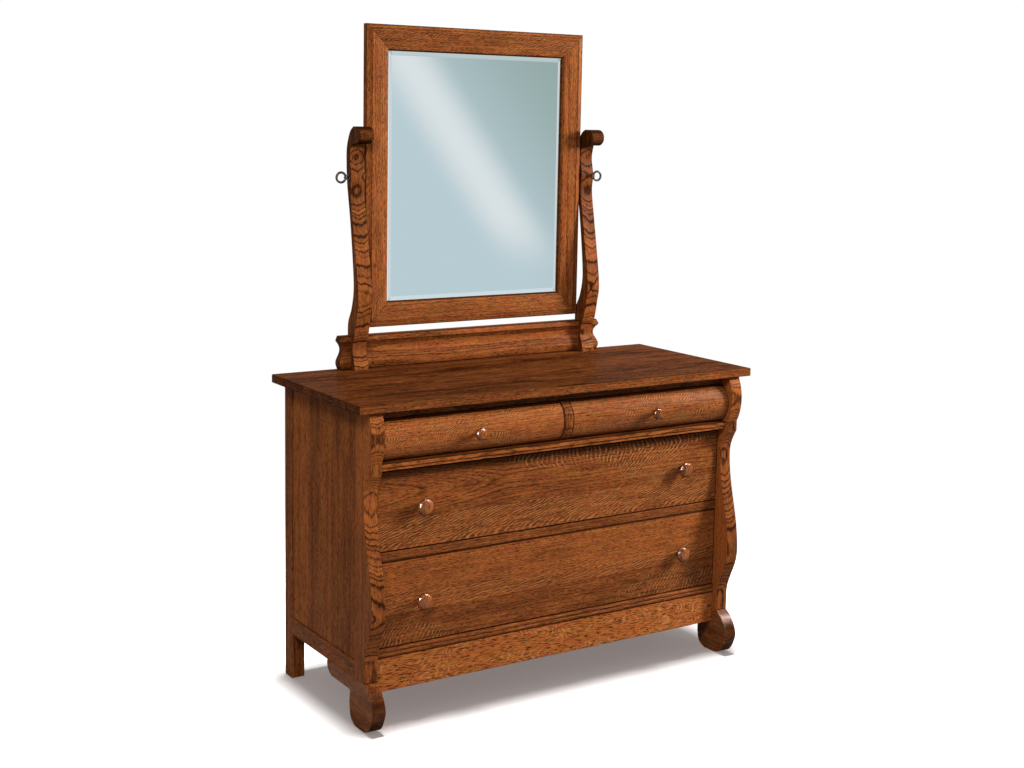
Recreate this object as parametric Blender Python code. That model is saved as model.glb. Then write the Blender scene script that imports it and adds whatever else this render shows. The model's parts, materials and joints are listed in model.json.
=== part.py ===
"""Oak dresser with four drawers and a tilting mirror.

Metres, +Z up, the front faces -Y. The origin lies on the floor, in the middle of the
part's box: half way across, and half way from the small knobs' faces to the top's back edge.
Depths are measured back from the top's front edge, heights up from the floor.
"""

from math import cos, pi, radians, sin, sqrt

import bmesh
import bpy
from mathutils import Vector

# Clearances
GAP = 0.0003             # between glued or resting faces
RUN = 0.0015             # round a drawer front in its opening
EASE = 0.0012            # sanded edge of a board

# Top and case
CASE_WIDTH = 1.200
TOP_DEPTH = 0.524
TOP_THICKNESS = 0.023
TOP_SIDE_OVERHANG = 0.032
TOP_BACK_OVERHANG = 0.015
BOARD = 0.019            # planed thickness of apron and side rails

# Front posts, cut to a flowing curve that stands in front of the drawers
POST_THICKNESS = 0.038
POST_BACK = 0.083
POST_HEAD = 0.015        # depth of the post's front just under the top
POST_BULGE = 0.017       # how far the head swells beside the small drawers
POST_WAIST = 0.040
POST_WAIST_DROP = 0.067  # the waist lies this far below the moulded rail
POST_BELLY = -0.008
POST_BELLY_RISE = 0.109  # the belly lies this far above the lower rail
POST_ANKLE = 0.031
POST_ANKLE_RISE = 0.049  # from the foot up to the ankle

# Feet, legs, side frames
FOOT_HEIGHT = 0.127
FOOT_TOE = -0.014        # depth of the foot's foremost point
FOOT_HEEL = 0.114
FOOT_SOLE_FRONT = 0.020
FOOT_SOLE_BACK = 0.082
BRACKET_REACH = 0.245    # depth where the foot's bracket ends
BRACKET_DEPTH = 0.038
LEG_THICKNESS = 0.038
LEG_DEPTH = 0.044
SIDE_RAIL_HEIGHT = 0.047
SIDE_PANEL_RECESS = 0.004
SIDE_PANEL_THICKNESS = 0.014

# Front of the case, stacked upward: rails and the drawer openings between them
DRAWER_PLANE = 0.051     # depth of the wide drawers' faces
RAIL_DEPTH = 0.060
APRON_BOTTOM = 0.090
APRON_HEIGHT = 0.091
LOWER_RAIL_THICKNESS = 0.022
LOWER_RAIL_NOSE = 0.004
LOWER_OPENING = 0.230
MIDDLE_RAIL_THICKNESS = 0.023
UPPER_OPENING = 0.213
MOULDED_RAIL_THICKNESS = 0.028
MOULDED_RAIL_FRONT = 0.020
MOULDED_RAIL_STEP = 0.007
SMALL_OPENING = 0.107
TOP_RAIL_THICKNESS = 0.024
TOP_RAIL_FRONT = 0.046
TOP_RAIL_DEPTH = 0.045
CENTRE_STILE_WIDTH = 0.0254
CENTRE_STILE_PROUD = 0.002

# Back and inner boards
BACK_THICKNESS = 0.006
BACK_RECESS = 0.005
BACK_RAIL_HEIGHT = 0.050
BACK_RAIL_THICKNESS = 0.0095
DUST_PANEL_THICKNESS = 0.012
GUIDE_HEIGHT = 0.016         # strips that keep a drawer straight on its dust panel

# Drawers
FRONT_THICKNESS = 0.022
SMALL_FRONT_EDGE = 0.036     # depth of the small fronts' top and bottom edges
SMALL_FRONT_BULGE = 0.027
SMALL_FRONT_BACK = 0.062
SIDE_THICKNESS = 0.012
DRAWER_CLEARANCE = 0.015     # between a drawer's rear end and the back panel
SIDE_TAIL = 0.012            # of a drawer side behind its back board
DRAWER_BACK_THICKNESS = 0.012
DRAWER_BOTTOM_THICKNESS = 0.006
BOTTOM_RISE = 0.010          # underside of the bottom above the side's lower edge
GROOVE_DEPTH = 0.006
DOVETAIL_DEPTH = 0.013
DOVETAIL_SLOPE = 1 / 7
SIDE_HEADROOM = 0.022        # between a drawer side and the rail above it

# Turned knobs
LARGE_KNOB_RADIUS = 0.0222
LARGE_KNOB_LENGTH = 0.031
SMALL_KNOB_RADIUS = 0.0159
SMALL_KNOB_LENGTH = 0.026
LARGE_KNOB_INSET = 0.1335    # from a wide drawer's end to the knob's axis
UPPER_KNOB_RISE = 0.005      # of the upper pair above the middle of their drawer
TENON_RADIUS = 0.0045
TENON_LENGTH = 0.014
KNOB_STEPS = 20

# Mirror and its supports
MIRROR_WIDTH = 0.724
MIRROR_HEIGHT = 0.838
MEMBER_WIDTH = 0.070
MEMBER_EDGE = 0.016          # thickness at the frame's outer edge
MEMBER_RIDGE = 0.023
MEMBER_BEVEL = 0.017         # width of the outer bevel
MEMBER_STEP = 0.0015
MEMBER_LIP = 0.018           # thickness at the sight edge
REBATE_WIDTH = 0.009
REBATE_DEPTH = 0.010
MITRE_GAP = 0.0002
GLASS_THICKNESS = 0.004
GLASS_EDGE = 0.0022
GLASS_BEVEL = 0.022
BACKING_THICKNESS = 0.004
MIRROR_CLEARANCE = 0.020     # from the base up to the mirror's lower edge
PIVOT_INSET = 0.008          # of the screws' axis in front of the mirror's back
PIVOT_FORWARD = 0.014        # of the screws' axis in front of the base's back
STANDARD_THICKNESS = 0.043
STANDARD_SIDE_GAP = 0.004    # between the mirror frame and a standard
SCROLL_RADIUS = 0.022        # of the rolled head of a standard
SCROLL_REACH = 0.037         # from the pivot forward to the roll's centre
SCROLL_RISE = 0.116          # from the pivot up to the roll's centre
SCROLL_NOTCH = 0.006         # groove across the roll's front
BASE_HEIGHT = 0.094
BASE_DEPTH = 0.029
BASE_SETBACK = 0.005         # of the base in front of the top's back edge
BASE_RETURN = 0.028          # the base's reach beyond a standard
BASE_MOULDING = 0.012        # relief of the base's moulded face

# Ring-headed thumb screws
SCREW_RADIUS = 0.003
SCREW_BITE = 0.022           # length held in the mirror frame
COLLAR_RADIUS = 0.0075
COLLAR_THICKNESS = 0.003
BALL_RADIUS = 0.0062
RING_RADIUS = 0.0128
RING_WIRE = 0.0028
ROUND_STEPS = 16

# Places worked out from the sizes above
LOWER_RAIL_BOTTOM = APRON_BOTTOM + APRON_HEIGHT
LOWER_RAIL_TOP = LOWER_RAIL_BOTTOM + LOWER_RAIL_THICKNESS
MIDDLE_RAIL_BOTTOM = LOWER_RAIL_TOP + LOWER_OPENING
MIDDLE_RAIL_TOP = MIDDLE_RAIL_BOTTOM + MIDDLE_RAIL_THICKNESS
MOULDED_RAIL_BOTTOM = MIDDLE_RAIL_TOP + UPPER_OPENING
MOULDED_RAIL_TOP = MOULDED_RAIL_BOTTOM + MOULDED_RAIL_THICKNESS
TOP_RAIL_BOTTOM = MOULDED_RAIL_TOP + SMALL_OPENING
CASE_TOP = TOP_RAIL_BOTTOM + TOP_RAIL_THICKNESS
TOP_HEIGHT = CASE_TOP + TOP_THICKNESS
TOP_LENGTH = CASE_WIDTH + 2 * TOP_SIDE_OVERHANG
CASE_BACK = TOP_DEPTH - TOP_BACK_OVERHANG
HALF_CASE = CASE_WIDTH / 2
HALF_OPENING = HALF_CASE - POST_THICKNESS
PANEL_INNER = HALF_CASE - SIDE_PANEL_RECESS - SIDE_PANEL_THICKNESS
LEG_FRONT = CASE_BACK - LEG_DEPTH
BACK_RAIL_TOP = FOOT_HEIGHT + BACK_RAIL_HEIGHT
HALF_STILE = CENTRE_STILE_WIDTH / 2
BACK_FACE = CASE_BACK - BACK_RECESS - BACK_THICKNESS
DRAWER_REAR = BACK_FACE - DRAWER_CLEARANCE
SMALL_FACE = SMALL_FRONT_EDGE - SMALL_FRONT_BULGE
BASE_BACK = TOP_DEPTH - BASE_SETBACK
BASE_FRONT = BASE_BACK - BASE_DEPTH
BASE_TOP = TOP_HEIGHT + GAP + BASE_HEIGHT
PIVOT_DEPTH = BASE_BACK - PIVOT_FORWARD
MIRROR_BACK = PIVOT_DEPTH + PIVOT_INSET
MIRROR_BOTTOM = BASE_TOP + MIRROR_CLEARANCE
PIVOT_HEIGHT = MIRROR_BOTTOM + MIRROR_HEIGHT / 2
STANDARD_INNER = MIRROR_WIDTH / 2 + STANDARD_SIDE_GAP
STANDARD_OUTER = STANDARD_INNER + STANDARD_THICKNESS
FRONT_REACH = SMALL_FACE - GAP - SMALL_KNOB_LENGTH
ORIGIN_DEPTH = (FRONT_REACH + TOP_DEPTH) / 2

# Colours: base colour, roughness, metallic
FINISHES = {
    "oak": ((0.300, 0.105, 0.032), 0.35, 0.0),
    "drawer_wood": ((0.560, 0.380, 0.210), 0.55, 0.0),
    "plywood": ((0.480, 0.300, 0.150), 0.60, 0.0),
    "mirror_glass": ((0.780, 0.830, 0.850), 0.03, 1.0),
    "pewter": ((0.300, 0.290, 0.270), 0.32, 1.0),
}


def clear_scene():
    for item in list(bpy.data.objects):
        bpy.data.objects.remove(item, do_unlink=True)


def material(name, slot):
    """Own material for one sub-part, from its finish."""
    colour, roughness, metallic = FINISHES[slot]
    made = bpy.data.materials.new(name + "_finish")
    made.use_nodes = True
    shader = made.node_tree.nodes["Principled BSDF"]
    shader.inputs["Base Color"].default_value = (*colour, 1.0)
    shader.inputs["Roughness"].default_value = roughness
    shader.inputs["Metallic"].default_value = metallic
    made.diffuse_color = (*colour, 1.0)
    return made


def y_at(depth):
    """World Y of a depth measured from the top's front edge."""
    return depth - ORIGIN_DEPTH


def joint_empty(name, x, depth, z):
    empty = bpy.data.objects.new(name, None)
    empty.location = (x, y_at(depth), z)
    bpy.context.collection.objects.link(empty)
    return empty


def add_piece(name, mesh_data, origin, slot, parent=None, smooth=False):
    """Object from a bmesh in world coordinates, with its origin at the given point."""
    bmesh.ops.recalc_face_normals(mesh_data, faces=mesh_data.faces)
    bmesh.ops.translate(mesh_data, verts=mesh_data.verts, vec=-Vector(origin))
    mesh = bpy.data.meshes.new(name)
    mesh_data.to_mesh(mesh)
    mesh_data.free()
    piece = bpy.data.objects.new(name, mesh)
    piece.location = origin
    if parent is not None:
        piece.parent = parent
        piece.location = Vector(origin) - parent.location
    if slot is not None:
        mesh.materials.append(material(name, slot))
    if smooth:
        mesh.shade_smooth()
        mesh.set_sharp_from_angle(angle=radians(35))
    bpy.context.collection.objects.link(piece)
    return piece


def ease_edges(piece, width=EASE, segments=1):
    bevel = piece.modifiers.new("eased edges", "BEVEL")
    bevel.width = width
    bevel.segments = segments
    bevel.limit_method = "ANGLE"
    bevel.angle_limit = radians(40)


def cut(piece, cutter, operation="DIFFERENCE"):
    step = piece.modifiers.new("cut by " + cutter.name, "BOOLEAN")
    step.operation = operation
    step.solver = "EXACT"
    step.object = cutter


def as_cutter(piece):
    piece.hide_render = True
    piece.display_type = "WIRE"
    return piece


def box_mesh(x, depth, z):
    """Closed box from (low, high) pairs: across, in depth and in height."""
    mesh_data = bmesh.new()
    bmesh.ops.create_cube(mesh_data, size=1.0)
    for vert in mesh_data.verts:
        vert.co.x = x[0] if vert.co.x < 0 else x[1]
        vert.co.y = y_at(depth[0] if vert.co.y < 0 else depth[1])
        vert.co.z = z[0] if vert.co.z < 0 else z[1]
    return mesh_data


def board(name, x, depth, z, slot="oak", parent=None, ease=EASE):
    centre = (sum(x) / 2, y_at(sum(depth) / 2), sum(z) / 2)
    piece = add_piece(name, box_mesh(x, depth, z), centre, slot, parent)
    if ease:
        ease_edges(piece, ease)
    return piece


def close_prism(mesh_data, ends):
    """Cap two matching rings of vertices and join them with side faces."""
    mesh_data.faces.new(ends[0])
    mesh_data.faces.new(list(reversed(ends[1])))
    count = len(ends[0])
    for i in range(count):
        j = (i + 1) % count
        mesh_data.faces.new((ends[0][i], ends[1][i], ends[1][j], ends[0][j]))


def profile_mesh(outline, x):
    """Extrude a side outline of (depth, height) points across from x[0] to x[1]."""
    mesh_data = bmesh.new()
    ends = [[mesh_data.verts.new((place, y_at(d), z)) for d, z in outline] for place in x]
    close_prism(mesh_data, ends)
    return mesh_data


def plan_mesh(outline, z):
    """Extrude a plan outline of (across, depth) points up from z[0] to z[1]."""
    mesh_data = bmesh.new()
    ends = [[mesh_data.verts.new((x, y_at(d), place)) for x, d in outline] for place in z]
    close_prism(mesh_data, ends)
    return mesh_data


def profile_board(name, outline, x, slot="oak", parent=None, ease=EASE, smooth=True):
    origin = (sum(x) / 2, y_at(outline[0][0]), outline[0][1])
    piece = add_piece(name, profile_mesh(outline, x), origin, slot, parent, smooth)
    if ease:
        ease_edges(piece, ease)
    return piece


def turned_mesh(profile, origin, axis, steps):
    """Solid of revolution: profile of (radius, distance along axis), closed at both ends."""
    mesh_data = bmesh.new()
    axis = Vector(axis).normalized()
    side = axis.orthogonal().normalized()
    other = axis.cross(side)
    rings = []
    for radius, along in profile:
        centre = Vector(origin) + axis * along
        rings.append([
            mesh_data.verts.new(centre + radius * (side * cos(a) + other * sin(a)))
            for a in (2 * pi * k / steps for k in range(steps))
        ])
    for low, high in zip(rings, rings[1:]):
        for k in range(steps):
            n = (k + 1) % steps
            mesh_data.faces.new((low[k], low[n], high[n], high[k]))
    mesh_data.faces.new(list(reversed(rings[0])))
    mesh_data.faces.new(rings[-1])
    return mesh_data


def ease_between(start, end, steps, first=False):
    """Points of a soft S-curve between two (depth, height) points."""
    points = [start] if first else []
    for k in range(1, steps + 1):
        t = k / steps
        blend = (1 - cos(pi * t)) / 2
        points.append((start[0] + (end[0] - start[0]) * blend, start[1] + (end[1] - start[1]) * t))
    return points


def bow_between(start, end, rise, steps):
    """Circular arc between two (depth, height) points, bowed forward by rise."""
    chord = abs(start[1] - end[1])
    radius = (chord * chord / 4 + rise * rise) / (2 * rise)
    half = chord / 2
    points = []
    for k in range(steps + 1):
        t = k / steps
        offset = (2 * t - 1) * half
        bow = sqrt(radius * radius - offset * offset) - (radius - rise)
        depth = start[0] + (end[0] - start[0]) * t - bow
        points.append((depth, start[1] + (end[1] - start[1]) * t))
    return points


def smooth_through(points, steps):
    """Catmull-Rom curve through (depth, height) points."""
    ends = [points[0]] + list(points) + [points[-1]]
    curve = [points[0]]
    for a, b, c, d in zip(ends, ends[1:], ends[2:], ends[3:]):
        for k in range(1, steps + 1):
            t = k / steps
            curve.append(tuple(
                0.5 * (2 * q + (r - p) * t + (2 * p - 5 * q + 4 * r - s) * t * t
                       + (3 * q - p - 3 * r + s) * t ** 3)
                for p, q, r, s in zip(a, b, c, d)
            ))
    return curve


def post_outline():
    """Front post from under the top down to the foot, then up the straight back."""
    head_top = CASE_TOP - GAP
    base = FOOT_HEIGHT + GAP
    outline = bow_between((POST_HEAD, head_top), (POST_HEAD, MOULDED_RAIL_TOP), POST_BULGE, 9)
    outline.append((POST_HEAD, MOULDED_RAIL_BOTTOM + GAP))
    waist_height = MOULDED_RAIL_BOTTOM - POST_WAIST_DROP
    for k in range(1, 7):
        t = k / 6
        outline.append((
            POST_HEAD + (POST_WAIST - POST_HEAD) * sin(t * pi / 2),
            MOULDED_RAIL_BOTTOM - POST_WAIST_DROP * t,
        ))
    waist = (POST_WAIST, waist_height)
    belly = (POST_BELLY, LOWER_RAIL_TOP + POST_BELLY_RISE)
    ankle = (POST_ANKLE, FOOT_HEIGHT + POST_ANKLE_RISE)
    outline += ease_between(waist, belly, 9)
    outline += ease_between(belly, ankle, 7)
    outline += [(POST_ANKLE, base), (POST_BACK, base), (POST_BACK, head_top)]
    return outline


def foot_outline():
    """Foot with a rounded toe and heel, and the bracket that runs back under the side rail."""
    top = FOOT_HEIGHT
    middle = FOOT_HEIGHT / 2
    bracket = top - BRACKET_DEPTH
    end_radius = BRACKET_DEPTH * 0.85
    toe = smooth_through([
        (POST_ANKLE, top),
        (POST_ANKLE - (POST_ANKLE - FOOT_TOE) * 0.62, top * 0.92),
        (FOOT_TOE, middle),
        (FOOT_TOE + (FOOT_SOLE_FRONT - FOOT_TOE) * 0.35, top * 0.14),
        (FOOT_SOLE_FRONT, 0.0),
    ], 4)
    heel = smooth_through([
        (FOOT_SOLE_BACK, 0.0),
        (FOOT_HEEL - 0.008, top * 0.12),
        (FOOT_HEEL, middle * 0.8),
        (FOOT_HEEL - 0.003, bracket - 0.004),
    ], 3)
    scroll = []
    for k in range(6):
        turn = k / 5 * pi / 2
        scroll.append((
            BRACKET_REACH - end_radius + end_radius * sin(turn),
            bracket + end_radius * (1 - cos(turn)),
        ))
    return toe + heel + [(FOOT_HEEL + 0.006, bracket)] + scroll + [(BRACKET_REACH, top)]


def small_front_arc(proud, edge_low, edge_high):
    """Bowed face that the small drawers and the stile between them share."""
    edge = SMALL_FRONT_EDGE - proud
    return bow_between((edge, edge_high), (edge, edge_low), SMALL_FRONT_BULGE, 10)


def make_top():
    half = TOP_LENGTH / 2
    board("top_panel", (-half, half), (0, TOP_DEPTH), (CASE_TOP, TOP_HEIGHT), ease=0.002)


def make_posts_and_sides():
    rail_top = FOOT_HEIGHT + SIDE_RAIL_HEIGHT
    between = (POST_BACK + GAP, LEG_FRONT - GAP)
    for side, sign in (("left", -1), ("right", 1)):
        outer = sign * HALF_CASE
        post_x = sorted((outer, outer - sign * POST_THICKNESS))
        leg_x = sorted((outer, outer - sign * LEG_THICKNESS))
        rail_x = sorted((outer, outer - sign * BOARD))
        panel_outer = outer - sign * SIDE_PANEL_RECESS
        panel_x = sorted((panel_outer, panel_outer - sign * SIDE_PANEL_THICKNESS))
        profile_board("front_post_" + side, post_outline(), post_x)
        profile_board("front_foot_" + side, foot_outline(), post_x)
        board("rear_leg_" + side, leg_x, (LEG_FRONT, CASE_BACK), (0, CASE_TOP - GAP))
        board("side_rail_" + side, rail_x, between, (FOOT_HEIGHT + GAP, rail_top))
        board("side_panel_" + side, panel_x, between, (rail_top + GAP, CASE_TOP - GAP))


def make_front_rails():
    across = (-HALF_OPENING + GAP, HALF_OPENING - GAP)
    board("front_top_rail", across, (TOP_RAIL_FRONT, TOP_RAIL_FRONT + TOP_RAIL_DEPTH),
          (TOP_RAIL_BOTTOM, CASE_TOP - GAP))
    board("middle_rail", across, (DRAWER_PLANE, DRAWER_PLANE + RAIL_DEPTH),
          (MIDDLE_RAIL_BOTTOM, MIDDLE_RAIL_TOP))
    board("apron", across, (DRAWER_PLANE, DRAWER_PLANE + BOARD),
          (APRON_BOTTOM, LOWER_RAIL_BOTTOM - GAP))

    # Lower rail: two beads along its front edge
    back = DRAWER_PLANE + RAIL_DEPTH
    bead = LOWER_RAIL_THICKNESS / 2
    nose = []
    for start in (LOWER_RAIL_BOTTOM, LOWER_RAIL_BOTTOM + bead):
        for k in range(6):
            turn = pi * k / 5
            nose.append((DRAWER_PLANE - LOWER_RAIL_NOSE * sin(turn), start + bead * (1 - cos(turn)) / 2))
    nose.pop(6)
    profile_board("lower_rail", nose + [(back, LOWER_RAIL_TOP), (back, LOWER_RAIL_BOTTOM)],
                  across, ease=0)

    # Moulded rail: a rounded ledge over a stepped-back cove
    ledge = MOULDED_RAIL_THICKNESS * 0.6
    face = MOULDED_RAIL_FRONT
    step = face + MOULDED_RAIL_STEP
    back = DRAWER_PLANE + RAIL_DEPTH
    nose = [(back, MOULDED_RAIL_BOTTOM), (DRAWER_PLANE, MOULDED_RAIL_BOTTOM)]
    for k in range(5):
        turn = pi / 2 * k / 4
        nose.append((
            DRAWER_PLANE - (DRAWER_PLANE - step) * sin(turn),
            MOULDED_RAIL_TOP - ledge - (MOULDED_RAIL_THICKNESS - ledge) * cos(turn),
        ))
    for k in range(7):
        turn = pi * k / 6
        nose.append((step - MOULDED_RAIL_STEP * sin(turn), MOULDED_RAIL_TOP - ledge * (1 + cos(turn)) / 2))
    nose.pop(7)
    nose.append((back, MOULDED_RAIL_TOP))
    profile_board("moulded_rail", nose, across, ease=0)


def make_dust_panel(name, top):
    """Panel from rail to back, notched round the rear legs, with a guide strip at each side."""
    low = top - DUST_PANEL_THICKNESS
    front = DRAWER_PLANE + RAIL_DEPTH + GAP
    notch = LEG_FRONT - GAP
    back = BACK_FACE - GAP
    wide = PANEL_INNER - GAP
    narrow = HALF_OPENING - GAP
    plan = [
        (-wide, front), (wide, front), (wide, notch), (narrow, notch),
        (narrow, back), (-narrow, back), (-narrow, notch), (-wide, notch),
    ]
    panel = add_piece(name, plan_mesh(plan, (low, top)), (0, y_at(front), top), "plywood")
    for side, sign in (("left", -1), ("right", 1)):
        guide_x = sorted((sign * HALF_OPENING, sign * wide))
        guide = board(f"{name}_guide_{side}", guide_x, (front, notch), (low, top + GUIDE_HEIGHT),
                      slot=None, ease=0)
        cut(panel, as_cutter(guide), "UNION")


def make_inner_case():
    across = (-HALF_OPENING + GAP, HALF_OPENING - GAP)
    make_dust_panel("dust_panel_upper", MOULDED_RAIL_TOP)
    make_dust_panel("dust_panel_middle", MIDDLE_RAIL_TOP)
    make_dust_panel("dust_panel_lower", LOWER_RAIL_TOP)
    board("back_rail", across, (BACK_FACE, BACK_FACE + BACK_RAIL_THICKNESS),
          (FOOT_HEIGHT, BACK_RAIL_TOP))
    board("back_panel", across, (BACK_FACE, BACK_FACE + BACK_THICKNESS),
          (BACK_RAIL_TOP + GAP, CASE_TOP - GAP), slot="plywood", ease=0)

    # Upright stile between the small drawers, and the partition behind it
    stile = (-HALF_STILE, HALF_STILE)
    low = MOULDED_RAIL_TOP + GAP
    high = TOP_RAIL_BOTTOM - GAP
    stile_back = SMALL_FRONT_BACK
    outline = small_front_arc(CENTRE_STILE_PROUD, low, high)
    outline += [(stile_back, low), (stile_back, high)]
    profile_board("centre_stile", outline, stile, ease=0.0008)
    partition = [
        (stile_back + GAP, low),
        (BACK_FACE - GAP, low),
        (BACK_FACE - GAP, CASE_TOP - GAP),
        (TOP_RAIL_FRONT + TOP_RAIL_DEPTH + GAP, CASE_TOP - GAP),
        (TOP_RAIL_FRONT + TOP_RAIL_DEPTH + GAP, high),
        (stile_back + GAP, high),
    ]
    profile_board("centre_partition", partition, stile, slot="plywood", ease=0, smooth=False)


def tail_outline(face, rear, low, high, count, grow=0.0):
    """Drawer side from its dovetailed front end back, or the cutter for its sockets."""
    pitch = (high - low) / count
    flare = DOVETAIL_DEPTH * DOVETAIL_SLOPE
    root = pitch * 0.30
    outline = []
    for k in range(count):
        centre = low + pitch * (k + 0.5)
        outline += [
            (face, centre - root - grow),
            (face - DOVETAIL_DEPTH - grow, centre - root - flare - grow),
            (face - DOVETAIL_DEPTH - grow, centre + root + flare + grow),
            (face, centre + root + grow),
        ]
    return [(rear, low)] + [(face, low)] + outline + [(face, high), (rear, high)]


def make_drawer(name, x, opening, tails, knobs, knob_size, knob_rise, bowed):
    """One drawer: front, dovetailed sides, back, bottom in grooves, and its knobs."""
    low, high = opening
    front_z = (low + RUN, high - RUN)
    front_back = SMALL_FRONT_BACK if bowed else DRAWER_PLANE + FRONT_THICKNESS
    face = SMALL_FACE if bowed else DRAWER_PLANE
    carrier = joint_empty(name + "_slide", sum(x) / 2, front_back, low)
    if bowed:
        outline = small_front_arc(0.0, *front_z)
        outline += [(front_back, front_z[0]), (front_back, front_z[1])]
        front = profile_board(name + "_front", outline, x, parent=carrier)
    else:
        front = board(name + "_front", x, (face, front_back), front_z, parent=carrier, ease=0.002)

    side_low = low + GAP
    side_high = high - SIDE_HEADROOM
    joint = front_back + GAP
    bottom_low = side_low + BOTTOM_RISE
    bottom_z = (bottom_low, bottom_low + DRAWER_BOTTOM_THICKNESS)
    inner = (x[0] + SIDE_THICKNESS, x[1] - SIDE_THICKNESS)
    back_rear = DRAWER_REAR - SIDE_TAIL
    back_depth = (back_rear - DRAWER_BACK_THICKNESS, back_rear)
    grooved_x = (inner[0] - GROOVE_DEPTH + GAP, inner[1] + GROOVE_DEPTH - GAP)
    bottom_depth = (front_back - GROOVE_DEPTH + GAP, back_rear)

    def grown(label, gx, gd, gz):
        spaces = [(pair[0] - GAP, pair[1] + GAP) for pair in (gx, gd, gz)]
        cutter = board(name + "_" + label, *spaces, slot=None, parent=carrier, ease=0)
        return as_cutter(cutter)

    board(name + "_bottom", grooved_x, bottom_depth, bottom_z, slot="plywood", parent=carrier,
          ease=0)
    groove = grown("bottom_groove", grooved_x, (bottom_depth[0], DRAWER_REAR + GAP), bottom_z)
    back_z = (bottom_z[1] + GAP, side_high - 0.004)
    board(name + "_back", grooved_x, back_depth, back_z, slot="drawer_wood", parent=carrier,
          ease=0)
    housing = grown("back_housing", grooved_x, back_depth, (side_low - GAP, side_high + GAP))

    for label, side_x, outward in (
        ("left", (x[0], inner[0]), -1),
        ("right", (inner[1], x[1]), 1),
    ):
        outline = tail_outline(joint, DRAWER_REAR, side_low, side_high, tails)
        side = profile_board(f"{name}_side_{label}", outline, side_x, slot="drawer_wood",
                             parent=carrier, ease=0, smooth=False)
        cut(side, groove)
        cut(side, housing)
        socket = tail_outline(joint, front_back + 0.01, side_low, side_high, tails, grow=GAP)
        reach = sorted((side_x[0] - GAP, side_x[1] + GAP))
        if outward < 0:
            reach[0] -= 0.005
        else:
            reach[1] += 0.005
        cutter = profile_board(f"{name}_sockets_{label}", socket, reach, slot=None,
                               parent=carrier, ease=0, smooth=False)
        cut(front, as_cutter(cutter))
    cut(front, groove)

    radius, length = knob_size
    height = sum(front_z) / 2 + knob_rise
    for label, knob_x in knobs:
        make_knob(label, knob_x, face - GAP, height, radius, length, carrier)
        place = (knob_x, y_at(face + TENON_LENGTH + GAP), height)
        hole = [(TENON_RADIUS + GAP, 0), (TENON_RADIUS + GAP, TENON_LENGTH + 0.01)]
        mesh_data = turned_mesh(hole, place, (0, -1, 0), KNOB_STEPS)
        cut(front, as_cutter(add_piece(label + "_hole", mesh_data, place, None, carrier)))


def make_knob(name, x, depth, z, radius, length, carrier):
    """Turned mushroom knob: tenon, spreading foot, waisted neck, domed head."""
    foot = radius * 0.42
    neck = radius * 0.33
    head = length * 0.46
    profile = [
        (TENON_RADIUS, -TENON_LENGTH),
        (TENON_RADIUS, 0.0),
        (foot, 0.0),
        (foot * 0.97, length * 0.06),
        (neck, length * 0.22),
        (neck, length * 0.38),
    ]
    for k in range(4):
        turn = k / 3 * pi / 2
        swell = neck + (radius * 0.9 - neck) * sin(turn)
        profile.append((swell, length - head * (1 - 0.22 * (1 - cos(turn)))))
    for k in range(5):
        turn = k / 5 * pi / 2
        profile.append((radius * cos(turn), length - head * 0.62 * (1 - sin(turn))))
    profile.append((radius * 0.18, length))
    mesh_data = turned_mesh(profile, (x, y_at(depth), z), (0, -1, 0), KNOB_STEPS)
    add_piece(name, mesh_data, (x, y_at(depth), z), "oak", carrier, smooth=True)


def make_drawers():
    stop = HALF_OPENING - RUN
    start = HALF_STILE + RUN
    small_opening = (MOULDED_RAIL_TOP, TOP_RAIL_BOTTOM)
    small_knob = (SMALL_KNOB_RADIUS, SMALL_KNOB_LENGTH)
    large_knob = (LARGE_KNOB_RADIUS, LARGE_KNOB_LENGTH)
    middle = (start + stop) / 2
    for side, sign in (("left", -1), ("right", 1)):
        x = tuple(sorted((sign * start, sign * stop)))
        make_drawer("drawer_small_" + side, x, small_opening, 2,
                    [("knob_small_" + side, sign * middle)], small_knob, 0, True)
    rows = (
        ("upper", (MIDDLE_RAIL_TOP, MOULDED_RAIL_BOTTOM), 4, UPPER_KNOB_RISE),
        ("lower", (LOWER_RAIL_TOP, MIDDLE_RAIL_BOTTOM), 5, 0),
    )
    for row, opening, tails, rise in rows:
        knobs = [
            (f"knob_{row}_left", LARGE_KNOB_INSET - stop),
            (f"knob_{row}_right", stop - LARGE_KNOB_INSET),
        ]
        make_drawer("drawer_wide_" + row, (-stop, stop), opening, tails, knobs, large_knob, rise,
                    False)


def base_relief(share):
    """Relief of the base's moulded face at a share of its height: foot, cove, bead."""
    foot, cove, bead = 0.18, 0.58, 0.85
    if share < foot:
        return 0.63 + 0.37 * sin(share / foot * pi / 2)
    if share < cove:
        return (1 + cos((share - foot) / (cove - foot) * pi)) / 2
    if share < bead:
        return (1 - cos((share - cove) / (bead - cove) * pi)) / 2
    return 0.5 + 0.5 * cos((share - bead) / (1 - bead) * pi / 2)


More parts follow.
